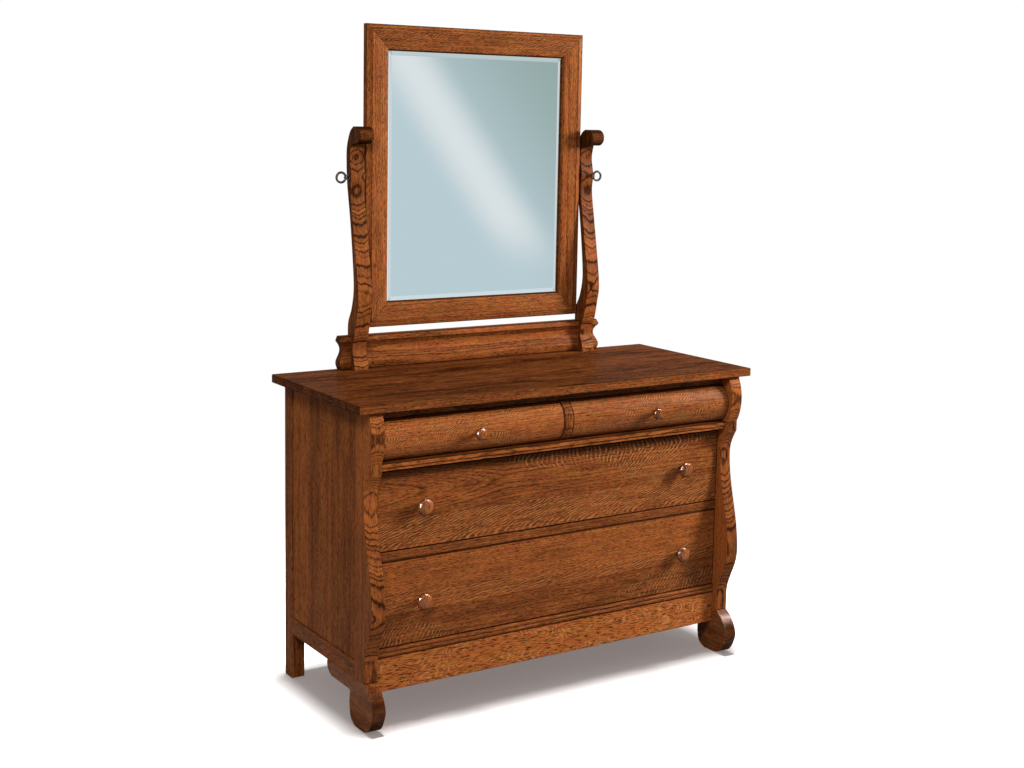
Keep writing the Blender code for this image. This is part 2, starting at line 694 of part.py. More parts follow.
def make_mirror_base():
    """Moulded bar along the back of the top, with the moulding returned round its ends."""
    low = TOP_HEIGHT + GAP
    end = STANDARD_OUTER + BASE_RETURN
    mesh_data = bmesh.new()
    layers = []
    steps = 20
    for k in range(steps + 1):
        share = k / steps
        inset = BASE_MOULDING * (1 - base_relief(share))
        x, front, z = end - inset, y_at(BASE_FRONT + inset), low + BASE_HEIGHT * share
        corners = ((-x, front), (x, front), (x, y_at(BASE_BACK)), (-x, y_at(BASE_BACK)))
        layers.append([mesh_data.verts.new((cx, cy, z)) for cx, cy in corners])
    for below, above in zip(layers, layers[1:]):
        for k in range(4):
            n = (k + 1) % 4
            mesh_data.faces.new((below[k], below[n], above[n], above[k]))
    mesh_data.faces.new(list(reversed(layers[0])))
    mesh_data.faces.new(layers[-1])
    add_piece("mirror_base", mesh_data, (0, y_at(BASE_BACK), low), "oak", smooth=True)


def standard_outline():
    """Scroll-topped standard: a foot lapped over the base, an S-curved stem, a rolled head.

    Along the stem, heights are shares of the rise from the base's top to the pivot.
    """
    foot = TOP_HEIGHT + GAP
    lap = BASE_TOP + GAP
    behind = BASE_FRONT - GAP
    rise = PIVOT_HEIGHT - lap
    roll_top = PIVOT_HEIGHT + SCROLL_RISE + SCROLL_RADIUS
    roll_bottom = roll_top - 2 * SCROLL_RADIUS
    front = smooth_through([
        (behind - 0.025, foot),
        (behind - 0.024, foot + BASE_HEIGHT * 0.13),
        (behind - 0.015, foot + BASE_HEIGHT * 0.38),
        (behind - 0.009, foot + BASE_HEIGHT * 0.62),
        (behind - 0.014, foot + BASE_HEIGHT * 0.85),
        (behind - 0.025, lap + rise * 0.025),
        (PIVOT_DEPTH - 0.051, lap + rise * 0.135),
        (PIVOT_DEPTH - 0.059, lap + rise * 0.250),
        (PIVOT_DEPTH - 0.047, lap + rise * 0.440),
        (PIVOT_DEPTH - 0.022, lap + rise * 0.740),
        (PIVOT_DEPTH - 0.010, lap + rise * 0.900),
        (PIVOT_DEPTH - 0.014, lap + rise * 1.010),
        (PIVOT_DEPTH - 0.005, (PIVOT_HEIGHT + roll_bottom) / 2 + 0.008),
        (PIVOT_DEPTH - 0.013, roll_bottom),
    ], 3)

    # Rolled head, with a groove across the middle of its front
    centre = (PIVOT_DEPTH - SCROLL_REACH, PIVOT_HEIGHT + SCROLL_RISE)
    tip = centre[0] - SCROLL_RADIUS
    for k in range(9):
        if k == 4:
            lip = SCROLL_NOTCH * 0.45
            front += [(tip, centre[1] - lip), (tip + SCROLL_NOTCH, centre[1]), (tip, centre[1] + lip)]
            continue
        turn = pi * k / 8
        front.append((centre[0] - SCROLL_RADIUS * sin(turn), centre[1] - SCROLL_RADIUS * cos(turn)))
    back = smooth_through([
        (PIVOT_DEPTH - 0.024, roll_top),
        (PIVOT_DEPTH - 0.004, roll_top - 0.015),
        (PIVOT_DEPTH + 0.014, PIVOT_HEIGHT + 0.084),
        (PIVOT_DEPTH + 0.016, PIVOT_HEIGHT + 0.036),
        (PIVOT_DEPTH + 0.011, lap + rise * 0.950),
        (PIVOT_DEPTH - 0.006, lap + rise * 0.750),
        (PIVOT_DEPTH - 0.022, lap + rise * 0.510),
        (PIVOT_DEPTH - 0.030, lap + rise * 0.310),
        (PIVOT_DEPTH - 0.018, lap + rise * 0.180),
        (PIVOT_DEPTH + 0.002, lap + rise * 0.090),
        (PIVOT_DEPTH + 0.005, lap),
    ], 3)
    return front + back + [(behind, lap), (behind, foot)]


def make_standards():
    for side, sign in (("left", -1), ("right", 1)):
        x = sorted((sign * STANDARD_INNER, sign * STANDARD_OUTER))
        standard = profile_board("standard_" + side, standard_outline(), x, ease=0.001)
        start = (x[0] - 0.01, y_at(PIVOT_DEPTH), PIVOT_HEIGHT)
        length = STANDARD_THICKNESS + 0.02
        radius = SCREW_RADIUS + GAP
        mesh_data = turned_mesh([(radius, 0), (radius, length)], start, (1, 0, 0), ROUND_STEPS)
        bore = add_piece("standard_bore_" + side, mesh_data, start, None)
        cut(standard, as_cutter(bore))


def member_profile():
    """Frame member in section: (distance in from the outer edge, distance forward of the back)."""
    sight = MEMBER_WIDTH
    return [
        (0.0, 0.0),
        (0.0, MEMBER_EDGE),
        (MEMBER_BEVEL, MEMBER_RIDGE - MEMBER_STEP),
        (MEMBER_BEVEL, MEMBER_RIDGE),
        (sight - 0.008, MEMBER_LIP + 0.002),
        (sight - 0.003, MEMBER_LIP),
        (sight, MEMBER_LIP - 0.004),
        (sight, REBATE_DEPTH),
        (sight - REBATE_WIDTH, REBATE_DEPTH),
        (sight - REBATE_WIDTH, 0.0),
    ]


def make_frame_member(name, half_length, half_across, turn, carrier):
    """Mitred member whose outer edge lies half_across from the centre, turned about Y."""
    centre = Vector((0, y_at(MIRROR_BACK), PIVOT_HEIGHT))
    mesh_data = bmesh.new()
    ends = []
    for sign in (-1, 1):
        ends.append([
            mesh_data.verts.new((
                sign * (half_length - inset - MITRE_GAP),
                -forward,
                half_across - inset,
            ))
            for inset, forward in member_profile()
        ])
    close_prism(mesh_data, ends)
    for vert in mesh_data.verts:
        x, z = vert.co.x, vert.co.z
        vert.co.x = x * cos(turn) + z * sin(turn)
        vert.co.z = z * cos(turn) - x * sin(turn)
    bmesh.ops.translate(mesh_data, verts=mesh_data.verts, vec=centre)
    return add_piece(name, mesh_data, carrier.location, "oak", carrier)


def make_mirror():
    carrier = joint_empty("mirror_pivot", 0, PIVOT_DEPTH, PIVOT_HEIGHT)
    half_w = MIRROR_WIDTH / 2
    half_h = MIRROR_HEIGHT / 2
    make_frame_member("mirror_frame_top", half_w, half_h, 0, carrier)
    make_frame_member("mirror_frame_bottom", half_w, half_h, pi, carrier)
    stiles = {
        "left": make_frame_member("mirror_frame_left", half_h, half_w, -pi / 2, carrier),
        "right": make_frame_member("mirror_frame_right", half_h, half_w, pi / 2, carrier),
    }

    # Bevelled glass in the rebate, and the backing board behind it
    seat = MEMBER_WIDTH - REBATE_WIDTH + GAP
    half_x = half_w - seat
    half_z = half_h - seat
    face = MIRROR_BACK - REBATE_DEPTH + GAP
    rear = face + GLASS_THICKNESS
    mesh_data = bmesh.new()
    layers = []
    for inset, depth in ((GLASS_BEVEL, face), (0, rear - GLASS_EDGE), (0, rear)):
        x, z = half_x - inset, half_z - inset
        layers.append([
            mesh_data.verts.new((cx, y_at(depth), PIVOT_HEIGHT + cz))
            for cx, cz in ((-x, -z), (x, -z), (x, z), (-x, z))
        ])
    for near, far in zip(layers, layers[1:]):
        for k in range(4):
            n = (k + 1) % 4
            mesh_data.faces.new((near[k], near[n], far[n], far[k]))
    mesh_data.faces.new(list(reversed(layers[0])))
    mesh_data.faces.new(layers[-1])
    add_piece("mirror_glass", mesh_data, carrier.location, "mirror_glass", carrier)
    board("mirror_backing", (-half_x, half_x), (rear + GAP, rear + GAP + BACKING_THICKNESS),
          (PIVOT_HEIGHT - half_z, PIVOT_HEIGHT + half_z), slot="plywood", parent=carrier, ease=0)

    for side, sign in (("left", -1), ("right", 1)):
        make_thumb_screw(side, sign, stiles[side])


def make_thumb_screw(side, sign, stile):
    """Ring-headed screw through the standard, threaded into the mirror frame."""
    root = Vector((sign * (MIRROR_WIDTH / 2 - SCREW_BITE), y_at(PIVOT_DEPTH), PIVOT_HEIGHT))
    axis = (sign, 0, 0)
    collar = STANDARD_OUTER + GAP - abs(root.x)
    ball = collar + COLLAR_THICKNESS + BALL_RADIUS * 0.8
    profile = [
        (SCREW_RADIUS * 0.6, 0.0),
        (SCREW_RADIUS, 0.002),
        (SCREW_RADIUS, collar),
        (COLLAR_RADIUS, collar),
        (COLLAR_RADIUS, collar + COLLAR_THICKNESS * 0.6),
        (COLLAR_RADIUS * 0.6, collar + COLLAR_THICKNESS),
    ]
    for k in range(1, 6):
        turn = pi * (k / 6 - 0.5)
        profile.append((BALL_RADIUS * cos(turn), ball + BALL_RADIUS * sin(turn)))
    profile.append((SCREW_RADIUS * 0.7, ball + BALL_RADIUS + 0.002))
    place = (sign * STANDARD_OUTER, root.y, root.z)
    carrier = joint_empty(f"thumb_screw_{side}_turn", sign * STANDARD_OUTER, PIVOT_DEPTH, PIVOT_HEIGHT)
    mesh_data = turned_mesh(profile, root, axis, ROUND_STEPS)
    screw = add_piece("thumb_screw_" + side, mesh_data, place, "pewter", carrier, smooth=True)

    # The ring stands in the plane of the screw's axis and the vertical
    ring_centre = root + Vector(axis) * (ball + BALL_RADIUS + RING_RADIUS - RING_WIRE)
    ring_mesh = bmesh.new()
    loops = []
    for k in range(20):
        turn = 2 * pi * k / 20
        outward = Vector((cos(turn), 0, sin(turn)))
        loops.append([
            ring_mesh.verts.new(ring_centre + outward * (RING_RADIUS + RING_WIRE * cos(a))
                                + Vector((0, RING_WIRE * sin(a), 0)))
            for a in (2 * pi * j / 8 for j in range(8))
        ])
    for k in range(20):
        here, there = loops[k], loops[(k + 1) % 20]
        for j in range(8):
            n = (j + 1) % 8
            ring_mesh.faces.new((here[j], here[n], there[n], there[j]))
    ring = add_piece("thumb_screw_ring_" + side, ring_mesh, ring_centre, None, carrier)
    cut(screw, as_cutter(ring), "UNION")

    # Hole in the frame's stile, deep enough for the screw's end
    start = root - Vector(axis) * 0.001
    hole_mesh = turned_mesh([(SCREW_RADIUS + GAP, 0), (SCREW_RADIUS + GAP, SCREW_BITE + 0.01)],
                            start, axis, ROUND_STEPS)
    hole = add_piece("mirror_frame_hole_" + side, hole_mesh, start, None)
    cut(stile, as_cutter(hole))


def main():
    clear_scene()
    make_top()
    make_posts_and_sides()
    make_front_rails()
    make_inner_case()
    make_drawers()
    make_mirror_base()
    make_standards()
    make_mirror()


main()
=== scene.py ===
"""Oak dresser with four drawers and a tilting mirror, dressed over its CAD frame.

Metres, +Z up, the front faces -Y. Depths are measured back from the top's front edge.
"""

import json
from math import cos, pi, radians, sin, sqrt

import bmesh
import bpy
from bpy.props import FloatProperty, FloatVectorProperty, PointerProperty
from mathutils import Matrix, Vector

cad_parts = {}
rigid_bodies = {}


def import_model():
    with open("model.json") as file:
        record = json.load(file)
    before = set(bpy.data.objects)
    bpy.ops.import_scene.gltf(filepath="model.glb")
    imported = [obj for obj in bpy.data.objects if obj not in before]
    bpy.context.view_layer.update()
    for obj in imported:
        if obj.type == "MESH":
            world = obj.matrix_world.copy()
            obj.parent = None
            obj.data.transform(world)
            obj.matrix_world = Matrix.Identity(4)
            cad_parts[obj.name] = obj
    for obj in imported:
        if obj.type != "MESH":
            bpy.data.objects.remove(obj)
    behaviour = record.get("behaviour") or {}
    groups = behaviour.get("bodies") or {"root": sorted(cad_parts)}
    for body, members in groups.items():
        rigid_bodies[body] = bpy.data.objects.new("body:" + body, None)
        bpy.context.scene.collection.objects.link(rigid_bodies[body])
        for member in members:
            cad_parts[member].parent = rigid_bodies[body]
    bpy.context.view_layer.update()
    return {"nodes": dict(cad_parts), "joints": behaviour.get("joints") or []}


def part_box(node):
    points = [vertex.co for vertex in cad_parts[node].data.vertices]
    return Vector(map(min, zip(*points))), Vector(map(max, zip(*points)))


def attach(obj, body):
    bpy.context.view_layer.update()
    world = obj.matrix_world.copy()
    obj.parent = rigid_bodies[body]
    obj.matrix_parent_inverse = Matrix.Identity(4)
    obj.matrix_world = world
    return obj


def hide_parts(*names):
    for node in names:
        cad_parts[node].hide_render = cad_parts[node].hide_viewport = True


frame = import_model()
TOP_LOW, TOP_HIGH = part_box("top_panel")
MM = 1000  # millimetres in a metre; wood figure is drawn in millimetres
TOUCH = 0.0003  # gap left between two pieces that only touch
SHARP_EDGE = radians(32)  # faces that meet at more than this are shaded apart
BEVELLED_EDGE = radians(38)  # faces that meet at more than this get an eased edge

# Each drawer's body, what its nodes' names start with, and what its knobs' names end with
DRAWERS = {
    "small_drawer_left": ("drawer_small_left", ("small_left",)),
    "small_drawer_right": ("drawer_small_right", ("small_right",)),
    "wide_drawer_upper": ("drawer_wide_upper", ("upper_left", "upper_right")),
    "wide_drawer_lower": ("drawer_wide_lower", ("lower_left", "lower_right")),
}

bl_info = {
    "name": "Dresser with mirror",
    "version": (1, 0, 0),
    "blender": (4, 5, 0),
    "location": "3D View > Sidebar > Dresser",
    "description": "Stained oak dresser with four drawers and a tilting mirror",
    "category": "Object",
}


def linear(hex_colour):
    """Linear red, green and blue of an sRGB hex colour."""
    shares = [int(hex_colour[k:k + 2], 16) / 255 for k in (1, 3, 5)]
    return tuple(s / 12.92 if s <= 0.04045 else ((s + 0.055) / 1.055) ** 2.4 for s in shares)


def length(label, default, description):
    """A size property in metres."""
    return FloatProperty(name=label, default=default, description=description,
                         unit="LENGTH", precision=4)


def colour(label, default, description):
    """A colour property from an sRGB hex default."""
    return FloatVectorProperty(name=label, default=linear(default), description=description,
                               subtype="COLOR", min=0.0, max=1.0, size=3)


# Sizes and colours that a user would change


class DresserOak(bpy.types.PropertyGroup):
    light: colour("Late wood", "#ac602e", "Stained late wood, the lighter part of a growth ring")
    base: colour("Mid tone", "#824723", "Overall tone of the stained oak")
    # Also the colour of the painted shade lines along the faces' borders
    dark: colour("Pores", "#331705", "Stain collected in the open pores")
    ray: colour("Ray fleck", "#d29058", "Medullary rays cut along their face")
    ring: length("Ring width", 0.0052, "Average width of a growth ring, drawn as wide as it shows")
    pore_width: length("Pore width", 0.0016, "Width of a pore's dash, drawn as wide as it shows")
    pore_length: length("Pore length", 0.012, "Length of a pore's dash along the grain")
    lacquer: FloatProperty(name="Lacquer roughness", default=0.26, min=0.0, max=1.0,
                           description="Roughness of the satin lacquer over the oak")


class DresserCase(bpy.types.PropertyGroup):
    head: length("Post head", 0.015, "Depth of a front post's face just under the top")
    bulge: length("Post bulge", 0.017, "Swell of a front post beside the small drawers")
    waist: length("Post waist", 0.040, "Depth of a front post's face at its waist")
    waist_drop: length("Waist drop", 0.067, "From the moulded rail down to the waist")
    belly: length("Post belly", -0.008, "Depth of a front post's face at its belly")
    belly_rise: length("Belly rise", 0.109, "From the lower rail up to the belly")
    ankle: length("Post ankle", 0.031, "Depth of a front post's face at its ankle")
    ankle_rise: length("Ankle rise", 0.049, "From the foot up to the ankle")
    heel: length("Foot heel", 0.114, "Depth of the rounded foot's rear")
    sole_front: length("Sole front", 0.034, "Depth where the foot meets the floor")
    sole_back: length("Sole back", 0.081, "Depth where the foot leaves the floor")
    bracket: length("Bracket height", 0.038, "Height of the bracket behind the foot")
    front_edge: length("Small front edge", 0.036, "Depth of a bowed front's top and bottom edges")
    front_bulge: length("Small front bulge", 0.027, "Bow of the small drawers' fronts")
    edge: length("Eased edge", 0.0014, "Radius of a sanded edge")


class DresserMirror(bpy.types.PropertyGroup):
    member: length("Member width", 0.070, "Width of a mirror frame member")
    bevel: length("Member bevel", 0.017, "Width of the member's outer bevel")
    ridge: length("Member ridge", 0.023, "Thickness at the bevel's ridge")
    outer: length("Member edge", 0.016, "Thickness at the member's outer edge")
    lip: length("Member lip", 0.018, "Thickness at the sight edge")
    roll: length("Scroll radius", 0.0235, "Radius of a standard's rolled head")
    roll_reach: length("Scroll reach", 0.037, "From the pivot forward to the roll's centre")
    roll_rise: length("Scroll rise", 0.116, "From the pivot up to the roll's centre")
    moulding: length("Base relief", 0.012, "Relief of the base's moulded face")
    glass: colour("Silvered glass", "#e6eff2", "Tint of the silvered glass")
    metal: colour("Pewter", "#5b5752", "Antique pewter of the thumb screws")
    ring_radius: length("Ring radius", 0.0136, "Radius of a thumb screw's ring")
    ring_wire: length("Ring wire", 0.0034, "Radius of the ring's wire")


class DresserStage(bpy.types.PropertyGroup):
    eye: FloatVectorProperty(name="Camera place", default=(-2.27032, -3.44391, 1.54808),
                             description="Where the camera stands", subtype="XYZ", unit="LENGTH")
    yaw: FloatProperty(name="Yaw", default=radians(33.045), subtype="ANGLE",
                       description="Turn of the view from straight back towards the right")
    pitch: FloatProperty(name="Pitch", default=radians(7.722), subtype="ANGLE",
                         description="Tilt of the view downward")
    roll: FloatProperty(name="Roll", default=radians(1.052), subtype="ANGLE",
                        description="Roll of the camera")
    focal: FloatProperty(name="Focal length", default=52.452, subtype="DISTANCE_CAMERA",
                         description="Focal length on a 36 mm wide sensor")
    shift: FloatProperty(name="Vertical shift", default=-0.06, description="Lens shift")
    floor: colour("Floor", "#f2f1f0", "Plain pale studio floor")
    floor_bounce: FloatProperty(name="Floor bounce", default=0.127, min=0.0, max=1.0,
                                description="Share of the floor's light that reaches the object")
    key: FloatProperty(name="Key light", default=205.0, unit="POWER",
                       description="Large soft lamp at the right, a little above")
    floor_shade: FloatProperty(name="Floor shade", default=0.19, min=0.0, max=1.0,
                               description="Lightness of the deepest shadow on the floor")
    overhead: FloatProperty(name="Overhead light", default=9200.0, unit="POWER",
                            description="Lamp high over the object that lights the floor alone")
    fill: FloatProperty(name="Fill light", default=80.0, unit="POWER",
                        description="Large soft lamp at the left front, high up")
    gleam: FloatProperty(name="Gleam light", default=1500.0, unit="POWER",
                         description="Upper one of two soft boxes seen only in the polish")
    sky: FloatProperty(name="Room light", default=0.28, min=0.0,
                       description="Even light from the pale room")


# Small tools


def add(tree, kind, inputs=None, curve=None, **settings):
    """Add a node with settings; an input takes a value, an output, or a node's output in use."""
    made = tree.nodes.new(kind)
    for name, value in settings.items():
        setattr(made, name, value)
    if curve:
        points = made.mapping.curves[0].points
        points[0].location, points[1].location = curve[0], curve[-1]
        for spot in curve[1:-1]:
            points.new(*spot)
        made.mapping.update()
    for key, value in (inputs or {}).items():
        if isinstance(value, bpy.types.Node):
            value = next(output for output in value.outputs if output.enabled)
        if isinstance(value, bpy.types.NodeSocket):
            tree.links.new(value, made.inputs[key])
        else:
            made.inputs[key].default_value = value
    return made


def rgba(values):
    """Colour for a socket, opaque."""
    return (*values[:3], 1.0)


def y_at(depth):
    """World Y of a depth behind the top's front edge."""
    return TOP_LOW.y + depth


def span(node, axis):
    """Lowest and highest place of a CAD node along an axis, 0 to 2."""
    low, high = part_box(node)
    return low[axis], high[axis]


def depths(node):
    """Depth of a CAD node's front and back."""
    return tuple(y - TOP_LOW.y for y in span(node, 1))


def link_mesh(name, mesh_data):
    """Make an object of a bmesh."""
    mesh = bpy.data.meshes.new(name)
    mesh_data.to_mesh(mesh)
    mesh_data.free()
    made = bpy.data.objects.new(name, mesh)
    bpy.context.scene.collection.objects.link(made)
    return made


def finish_piece(name, mesh_data, node, material, body="case", edge=0.0, segments=3):
    """Make the piece that replaces a CAD node, of a bmesh in world coordinates."""
    bmesh.ops.recalc_face_normals(mesh_data, faces=mesh_data.faces)
    piece = link_mesh(name, mesh_data)
    piece.data.shade_smooth()
    piece.data.set_sharp_from_angle(angle=SHARP_EDGE)
    piece.data.materials.append(material)
    if edge:
        bevel = piece.modifiers.new("eased edges", "BEVEL")
        bevel.width = edge
        bevel.segments = segments
        bevel.limit_method = "ANGLE"
        bevel.angle_limit = BEVELLED_EDGE
        bevel.harden_normals = True
    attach(piece, body)
    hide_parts(node)


def prism(rings):
    """Closed solid between matching rings of points, one after another."""
    mesh_data = bmesh.new()
    loops = [[mesh_data.verts.new(point) for point in ring] for ring in rings]
    count = len(loops[0])
    for near, far in zip(loops, loops[1:]):
        for k in range(count):
            n = (k + 1) % count
            mesh_data.faces.new((near[k], far[k], far[n], near[n]))
    mesh_data.faces.new(loops[0])
    mesh_data.faces.new(list(reversed(loops[-1])))
    return mesh_data


def sawn(outline, x):
    """Side outline of (depth, height) points, sawn through a board from x[0] to x[1]."""
    return prism([[(place, y_at(d), z) for d, z in outline] for place in x])


def block(low, high):
    """Plain board between its lowest and highest corner."""
    ring = ((low[0], low[1]), (high[0], low[1]), (high[0], high[1]), (low[0], high[1]))
    return prism([[(x, y, z) for x, y in ring] for z in (low[2], high[2])])


def turned(profile, origin, axis, steps):
    """Lathe-turned solid from (radius, distance along the axis) points."""
    axis = Vector(axis).normalized()
    side = axis.orthogonal().normalized()
    other = axis.cross(side)
    rings = []
    for radius, along in profile:
        centre = Vector(origin) + axis * along
        turns = [2 * pi * k / steps for k in range(steps)]
        rings.append([centre + radius * (side * cos(a) + other * sin(a)) for a in turns])
    return prism(rings)


def bow(start, end, rise, steps):
    """Circular arc between two (depth, height) points, bowed forward by rise."""
    chord = abs(start[1] - end[1])
    radius = (chord * chord / 4 + rise * rise) / (2 * rise)
    points = []
    for k in range(steps + 1):
        t = k / steps
        offset = (t - 0.5) * chord
        forward = sqrt(radius * radius - offset * offset) - (radius - rise)
        points.append((start[0] + (end[0] - start[0]) * t - forward,
                       start[1] + (end[1] - start[1]) * t))
    return points


def arc(centre, radii, start, end, steps):
    """Points of an arc, oval where its two radii differ, from one turn to another."""
    turns = [start + (end - start) * k / steps for k in range(steps + 1)]
    return [(centre[0] + radii[0] * sin(a), centre[1] + radii[1] * cos(a)) for a in turns]


def soft_step(start, end, steps, quick=False):
    """Points of a soft S between two points, without the first; a quick one leaves at once."""
    points = []
    for k in range(1, steps + 1):
        t = k / steps
        blend = sin(t * pi / 2) if quick else (1 - cos(pi * t)) / 2
        points.append((start[0] + (end[0] - start[0]) * blend, start[1] + (end[1] - start[1]) * t))
    return points


def curve_through(points, steps):
    """Smooth curve through (depth, height) points."""
    ends = [points[0]] + list(points) + [points[-1]]
    curve = [points[0]]
    for a, b, c, d in zip(ends, ends[1:], ends[2:], ends[3:]):
        for k in range(1, steps + 1):
            t = k / steps
            curve.append(tuple(
                0.5 * (2 * q + (r - p) * t + (2 * p - 5 * q + 4 * r - s) * t * t
                       + (3 * q - p - 3 * r + s) * t ** 3)
                for p, q, r, s in zip(a, b, c, d)
            ))
    return curve


# Materials

# The axes that run along the grain, across the board and through it
GRAIN_AXES = {
    "rail": (0, 2, 1),       # along X, the face stands upright
    "top": (0, 1, 2),        # along X, the face lies flat
    "post": (2, 0, 1),       # along Z, the face looks forward
    "side": (2, 1, 0),       # along Z, the face looks sideways
    "side_rail": (1, 2, 0),  # along Y, the face looks sideways
}
FAR = 9000  # millimetres, bounds a field on a side where it has no border
OUTSIDE = -9  # millimetres, starts a painted dark line beyond the border of its field
LINE_BLUR = 0.7  # millimetres on both sides of a painted dark line's edge
MIDDLE_TONE = 0.45  # the tone that takes the stain's base colour

# Sockets of the oak figure's node group
FIGURE_SOCKETS = (
    ("INPUT", "NodeSocketVector", ("Position", "Grain place", "Facing")),
    ("INPUT", "NodeSocketFloat", (
        "Tone", "Ring width", "Ring strength", "Ring edge", "Ring shift", "Year spread",
        "Wobble", "Drift", "Ray phase", "Ray amount", "Pore width", "Pore length",
        "Pore amount")),
    ("INPUT", "NodeSocketColor", ("Light", "Base", "Dark", "Ray")),
    ("OUTPUT", "NodeSocketColor", ("Color",)),
    ("OUTPUT", "NodeSocketFloat", ("Height", "Open")),
)

# Its noises: size in millimetres along, across and through the board, detail, roughness
FIGURE_NOISES = {
    "drift": ((420, 90, 90), 1.0, 0.4),          # slow wander of the rings
    "wobble": ((34, 12, 12), 1.0, 0.4),          # small waves in them
    "breaks": ((26, 7, 7), 2.5, 0.6),            # gaps in the ray flecks
    "clouds": ((130, 30, 30), 2.0, 0.55),        # broad changes of tone
    "long streaks": ((55, 3.4, 3.4), 2.0, 0.6),
    "short streaks": ((17, 2.8, 2.8), 2.0, 0.6),
    "hue": ((70, 8, 8), 2.0, 0.6),               # where the stain turns olive or red
}


def growth_rings(tree, given, noise):
    """Early wood's share of each growth ring, and random numbers for each year.

    A ring is a distance from the tree's centre line, which wanders along the grain.
    """
    flat = add(tree, "ShaderNodeVectorMath", {0: given["Position"], 1: (0.0, 1.0, 1.0)},
               operation="MULTIPLY")
    radius = add(tree, "ShaderNodeVectorMath", {0: flat}, operation="LENGTH")
    radius = add(tree, "ShaderNodeMath", {0: radius, 1: given["Ring shift"]}, operation="ADD")
    slow = add(tree, "ShaderNodeMath", {0: noise["drift"], 1: -0.5}, operation="ADD")
    wander = add(tree, "ShaderNodeMath", {0: slow, 1: given["Drift"], 2: radius},
                 operation="MULTIPLY_ADD")
    waved = add(tree, "ShaderNodeMath", {0: noise["wobble"], 1: given["Wobble"], 2: wander},
                operation="MULTIPLY_ADD")
    rings = add(tree, "ShaderNodeMath", {0: waved, 1: given["Ring width"]}, operation="DIVIDE")
    pace = add(tree, "ShaderNodeTexNoise", {
        "W": add(tree, "ShaderNodeMath", {0: rings, 1: 0.35}, operation="MULTIPLY"),
        "Scale": 1.0, "Detail": 0.0,
    }, noise_dimensions="1D")
    rings = add(tree, "ShaderNodeMath", {0: pace, 1: 1.3, 2: rings}, operation="MULTIPLY_ADD")
    early = add(tree, "ShaderNodeFloatCurve", {
        "Value": add(tree, "ShaderNodeMath", {0: rings}, operation="FRACT"),
    }, curve=[(0.0, 0.1), (0.08, 0.8), (0.18, 1.0), (0.36, 0.55), (0.60, 0.18), (1.0, 0.05)])
    early = add(tree, "ShaderNodeMath", {0: early, 1: given["Ring edge"]}, operation="POWER")
    year = add(tree, "ShaderNodeTexWhiteNoise", {
        "W": add(tree, "ShaderNodeMath", {0: rings}, operation="FLOOR"),
    }, noise_dimensions="1D")
    return early, year.outputs


def open_pores(tree, given, early):
    """Short dark dashes along the grain, crowded in the early wood."""
    size = add(tree, "ShaderNodeCombineXYZ", {
        0: given["Pore length"], 1: given["Pore width"], 2: given["Pore width"],
    })
    dashes = add(tree, "ShaderNodeTexNoise", {
        "Vector": add(tree, "ShaderNodeVectorMath", {0: given["Grain place"], 1: size},
                      operation="DIVIDE"),
        "Scale": 1.0, "Detail": 1.5, "Roughness": 0.55,
    })
    dashes = add(tree, "ShaderNodeMapRange", {
        "Value": dashes, "From Min": 0.49, "From Max": 0.64,
    }, interpolation_type="SMOOTHSTEP")
    crowd = add(tree, "ShaderNodeMath", {0: early, 1: 0.5, 2: 0.5}, operation="MULTIPLY_ADD")
    pores = add(tree, "ShaderNodeMath", {0: dashes, 1: crowd}, operation="MULTIPLY")
    return add(tree, "ShaderNodeMath", {0: pores, 1: given["Pore amount"]},
               operation="MULTIPLY", use_clamp=True)


def ray_flecks(tree, given, noise):
    """Thin pale strokes, one to a whole step of the phase, and the wood between them."""
    stroke = add(tree, "ShaderNodeMapRange", {
        "Value": add(tree, "ShaderNodeMath", {0: given["Ray phase"], 1: 0.5},
                     operation="PINGPONG"),
        "From Min": 0.24, "From Max": 0.44,
    }, interpolation_type="SMOOTHSTEP")
    breaks = add(tree, "ShaderNodeMapRange", {
        "Value": noise["breaks"], "From Min": 0.38, "From Max": 0.62,
    }, interpolation_type="SMOOTHSTEP")
    amount = add(tree, "ShaderNodeMath", {0: breaks, 1: given["Ray amount"]},
                 operation="MULTIPLY", use_clamp=True)
    between = add(tree, "ShaderNodeMath", {0: stroke, 1: -1.0, 2: 1.0}, operation="MULTIPLY_ADD")
    return [add(tree, "ShaderNodeMath", {0: part, 1: amount}, operation="MULTIPLY")
            for part in (stroke, between)]


